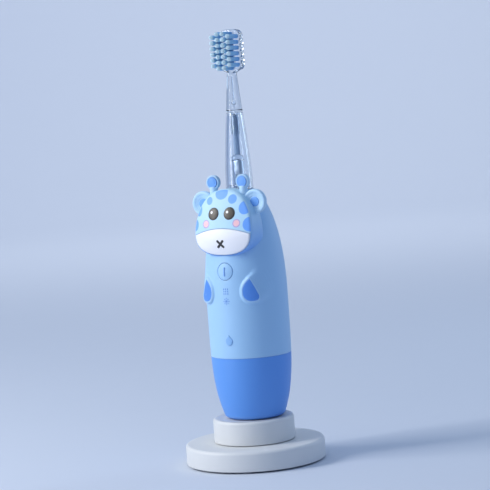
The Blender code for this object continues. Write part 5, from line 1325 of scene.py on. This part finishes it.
brush_rows = []
for radius, z in round_corners([
    (0, HEAD_BASE + 16.5 * MM, 0), (CHANNEL, HEAD_BASE + 16.5 * MM, 0.1 * MM),
    (CHANNEL, HEAD_BASE + 5.2 * MM, 0.3 * MM),
    (BULB, HEAD_BASE + 4.8 * MM, 0.3 * MM), (BULB, HEAD_BASE + 3.4 * MM, 0.3 * MM),
    (CHANNEL, HEAD_BASE + 3.0 * MM, 0.2 * MM), (CHANNEL, brush_box.low.z + 9.2 * MM, 0.2 * MM),
    (BORE_RADIUS, brush_box.low.z + 9.0 * MM, 0.3 * MM), (BORE_RADIUS, brush_box.low.z, 0.15 * MM),
    (PEG_RADIUS, brush_box.low.z, 0.2 * MM), (PEG_RADIUS, HEAD_BASE, 0.2 * MM),
    (NECK_TOP_RADIUS, HEAD_BASE, 0.4 * MM),
    (NECK_TOP_RADIUS - 0.05 * MM, HEAD_BASE + 0.8 * MM, 0),
], 5):
    brush_rows.append(section(radius, radius, radius, radius, z))
blend_low, blend_high = PLATE_BOTTOM - 1.5 * MM, PLATE_BOTTOM + 3.4 * MM
for z in spread(HEAD_BASE + 0.9 * MM, brush_box.high.z - 0.01 * MM, 90):
    climb = min(1.0, (z - HEAD_BASE) / (PLATE_BOTTOM - HEAD_BASE))
    radius = NECK_TOP_RADIUS - (NECK_TOP_RADIUS - STEM_RADIUS) * climb ** 0.9
    share = smooth((z - blend_low) / (blend_high - blend_low))
    wide = plate_half_width(z) if z > PLATE_BOTTOM + 0.2 * MM else 0.0
    top_round = max(0.0, z - (brush_box.high.z - PLATE_EDGE))
    tuck = PLATE_EDGE - sqrt(max(0.0, PLATE_EDGE ** 2 - top_round ** 2))
    half_width = max(radius * (1 - share) + wide * share, wide * min(1, share * 1.6) * 0.99)
    front = radius * (1 - share) + PLATE_FRONT * share - tuck * 0.9
    back = radius * (1 - share) + PLATE_BACK * share - tuck
    corner = radius * (1 - share) + PLATE_EDGE * share
    brush_rows.append(section(half_width, front, back, corner, z))
brush_rows.append([(0, AXIS[1] + (PLATE_BACK - PLATE_FRONT) / 2, brush_box.high.z)] * SECTION_SIDES)
clear_brush = woven("clear_brush_head", brush_rows)
TUFT_RADIUS = 0.97 * MM
TUFT_PITCH = 2.9 * MM
plate_face = AXIS[1] - PLATE_FRONT
plate_middle = PLATE_BOTTOM + PLATE_LENGTH / 2
tuft_places = []
for column, rows_here in ((-1.5, 6), (-0.5, 7), (0.5, 7), (1.5, 6)):
    for row in range(rows_here):
        up = (row - (rows_here - 1) / 2) * TUFT_PITCH * 0.9
        tuft_places.append((column * TUFT_PITCH, plate_middle + up))
WELL_DEPTH = 2.5 * MM
wells = []
for tx, tz in tuft_places:
    well = [(0, -1 * MM), (TUFT_RADIUS, -1 * MM), (TUFT_RADIUS, WELL_DEPTH), (0, WELL_DEPTH + 0.3 * MM)]
    wells.append(facing_front("well", well, tx, tz, plate_face, 20))
cut_out(clear_brush, joined("wells", wells))
fit(clear_brush, clear_copolyester, "brush_head", "clear_plastic", "brush_head_body")

TUFT_ROOT = 0.9 * MM               # below the plate's face
TUFT_LENGTH = 8.8 * MM
FILAMENT_RADIUS = 0.135 * MM
filament_places = [(0.0, 0.0)]
for ring_number in (1, 2, 3):
    for i in range(6 * ring_number):
        a = 2 * pi * (i + 0.35 * ring_number) / (6 * ring_number)
        r = ring_number / 3 * (TUFT_RADIUS - FILAMENT_RADIUS)
        filament_places.append((r * cos(a), r * sin(a)))
tuft_mesh = bmesh.new()
along_layer = tuft_mesh.verts.layers.float.new("along")
for tuft_number, (tx, tz) in enumerate(tuft_places):
    for number, (fx, fz) in enumerate(filament_places):
        reach = (fx * fx + fz * fz) / TUFT_RADIUS ** 2
        jitter = sin(tuft_number * 7.3 + number * 12.9) * 0.5
        length = TUFT_LENGTH - 0.55 * MM * reach + 0.08 * MM * jitter
        lean_x, lean_z = fx * 0.10, fz * 0.10
        rings = []
        for depth, width in ((-TUFT_ROOT, 0.8), (0.0, 1.0), (length * 0.5, 1.0), (length - 0.12 * MM, 1.0),
                             (length - 0.03 * MM, 0.7), (length, 0.15)):
            share = max(0.0, depth / TUFT_LENGTH)
            ring = []
            for i in range(6):
                a = 2 * pi * i / 6
                vertex = tuft_mesh.verts.new((
                    tx + fx + lean_x * share + FILAMENT_RADIUS * width * cos(a),
                    plate_face - depth,
                    tz + fz + lean_z * share + FILAMENT_RADIUS * width * sin(a),
                ))
                vertex[along_layer] = share
                ring.append(vertex)
            rings.append(ring)
        for low, high in zip(rings, rings[1:]):
            for i in range(6):
                tuft_mesh.faces.new((low[i - 1], low[i], high[i], high[i - 1]))
        tuft_mesh.faces.new(rings[0])
        tuft_mesh.faces.new(rings[-1])
bmesh.ops.recalc_face_normals(tuft_mesh, faces=tuft_mesh.faces)
tufts_data = bpy.data.meshes.new("tufts")
tuft_mesh.to_mesh(tufts_data)
tuft_mesh.free()
tufts_data.shade_smooth()
tufts = bpy.data.objects.new("tufts", tufts_data)
bpy.context.scene.collection.objects.link(tufts)

nylon_dye_and_tip_sheen = moulded("dyed_nylon_tip_sheen", (0.16, 0.42, 0.90), 0.38, grain=1200.0, depth=0.05, worn=0.0)
nylon_tree = nylon_dye_and_tip_sheen.node_tree
along = add(nylon_tree, "Attribute", attribute_name="along").outputs["Fac"]
dye_sheen_ramp = add(nylon_tree, "ValToRGB", {"Fac": along})
dye_sheen_ramp.color_ramp.elements[0].position = 0.0
dye_sheen_ramp.color_ramp.elements[0].color = (0.20, 0.54, 0.97, 1.0)
dye_sheen_ramp.color_ramp.elements[1].position = 0.80
dye_sheen_ramp.color_ramp.elements[1].color = (0.42, 0.76, 1.0, 1.0)
# Painted sheen: the dyed blue pales along each filament to almost white at the tip.
tip_sheen = dye_sheen_ramp.color_ramp.elements.new(0.95)
tip_sheen.color = (0.80, 0.95, 1.0, 1.0)
repaint(nylon_dye_and_tip_sheen, dye_sheen_ramp.outputs[0])
fit(tufts, nylon_dye_and_tip_sheen, "brush_head", "bristle_nylon", "bristle_block")

# Studio: a pale floor that sweeps up far behind, a soft light and a tall narrow one on the left, a
# weak bluish one behind on the right, one on the backdrop, and light all round, bluer on the right.

FLOOR_RADIUS = 2.6
SWEEP = 0.8
floor_profile = [(0, 0), (0.5, 0), (FLOOR_RADIUS - SWEEP, 0)]
for k in range(1, 13):
    bend = pi / 2 * k / 12
    floor_profile.append((FLOOR_RADIUS - SWEEP + SWEEP * sin(bend), SWEEP * (1 - cos(bend))))
floor = turned("floor", floor_profile, sides=96)
for face in floor.data.polygons:
    face.flip()
floor_paint = moulded("floor_paint", (0.62, 0.67, 0.76), 0.75, grain=300.0, depth=0.02, drift=0.02, worn=0.0)
wear(floor, floor_paint)

world = bpy.data.worlds.new("studio_air")
world.use_nodes = True
air = world.node_tree
ahead = add(air, "TexCoord").outputs["Generated"]
to_right = add(air, "VectorMath", {0: ahead, 1: (0.86, 0.51, 0.0)}, operation="DOT_PRODUCT").outputs["Value"]
shade = add(air, "MapRange", {0: to_right, 1: -0.7, 2: 0.8, 3: 0.0, 4: 1.0}).outputs[0]
AIR_LEFT, AIR_RIGHT = (0.66, 0.76, 0.88), (0.22, 0.34, 0.62)
feed(air, air.nodes["Background"].inputs["Color"], blend(air, shade, full(AIR_LEFT), full(AIR_RIGHT)))
air.nodes["Background"].inputs["Strength"].default_value = 0.81
bpy.context.scene.world = world
bpy.context.scene.view_settings.view_transform = "Standard"


def soft_light(name, place, power, size, colour, target=(0, 0, 0.1)):
    data = bpy.data.lights.new(name, "AREA")
    data.energy = power
    data.shape = "RECTANGLE"
    data.size, data.size_y = size
    data.color = colour
    lamp = bpy.data.objects.new(name, data)
    lamp.location = place
    aim = Vector(target) - Vector(place)
    lamp.rotation_euler = aim.to_track_quat("-Z", "Y").to_euler()
    bpy.context.scene.collection.objects.link(lamp)


soft_light("key_light", (-0.55, -0.45, 0.55), 4.0, (0.35, 0.35), (1.0, 0.98, 0.96))
soft_light("strip_light", (-0.50, -0.62, 0.25), 2.2, (0.10, 0.80), (1.0, 0.99, 0.98))
soft_light("back_light", (0.35, 0.60, 0.35), 0.7, (0.12, 0.60), (0.70, 0.86, 1.0))
soft_light("backdrop_light", (-0.70, 1.10, 1.30), 11.0, (1.0, 1.0), (1.0, 0.98, 0.95), (-1.25, 2.10, 0.30))

CAMERA_TURN = radians(30.8)
CAMERA_DISTANCE = 0.880
CAMERA_HEIGHT = 0.1673
CAMERA_ASIDE = 0.0006
CAMERA_ROLL = radians(4.0)
AIM_HEIGHT = 0.1011
camera_data = bpy.data.cameras.new("camera")
camera_data.sensor_width = 36.0
camera_data.lens = 139.4
camera = bpy.data.objects.new("camera", camera_data)
aside = Vector((cos(CAMERA_TURN), sin(CAMERA_TURN), 0)) * CAMERA_ASIDE
aim_point = Vector((*AXIS, AIM_HEIGHT)) + aside
away = Vector((sin(CAMERA_TURN), -cos(CAMERA_TURN), 0)) * CAMERA_DISTANCE
camera.location = aim_point + away + Vector((0, 0, CAMERA_HEIGHT - AIM_HEIGHT))
view = aim_point - camera.location
camera.rotation_mode = "QUATERNION"
camera.rotation_quaternion = view.to_track_quat("-Z", "Y") @ Quaternion((0, 0, 1), -CAMERA_ROLL)
bpy.context.scene.collection.objects.link(camera)
bpy.context.scene.camera = camera
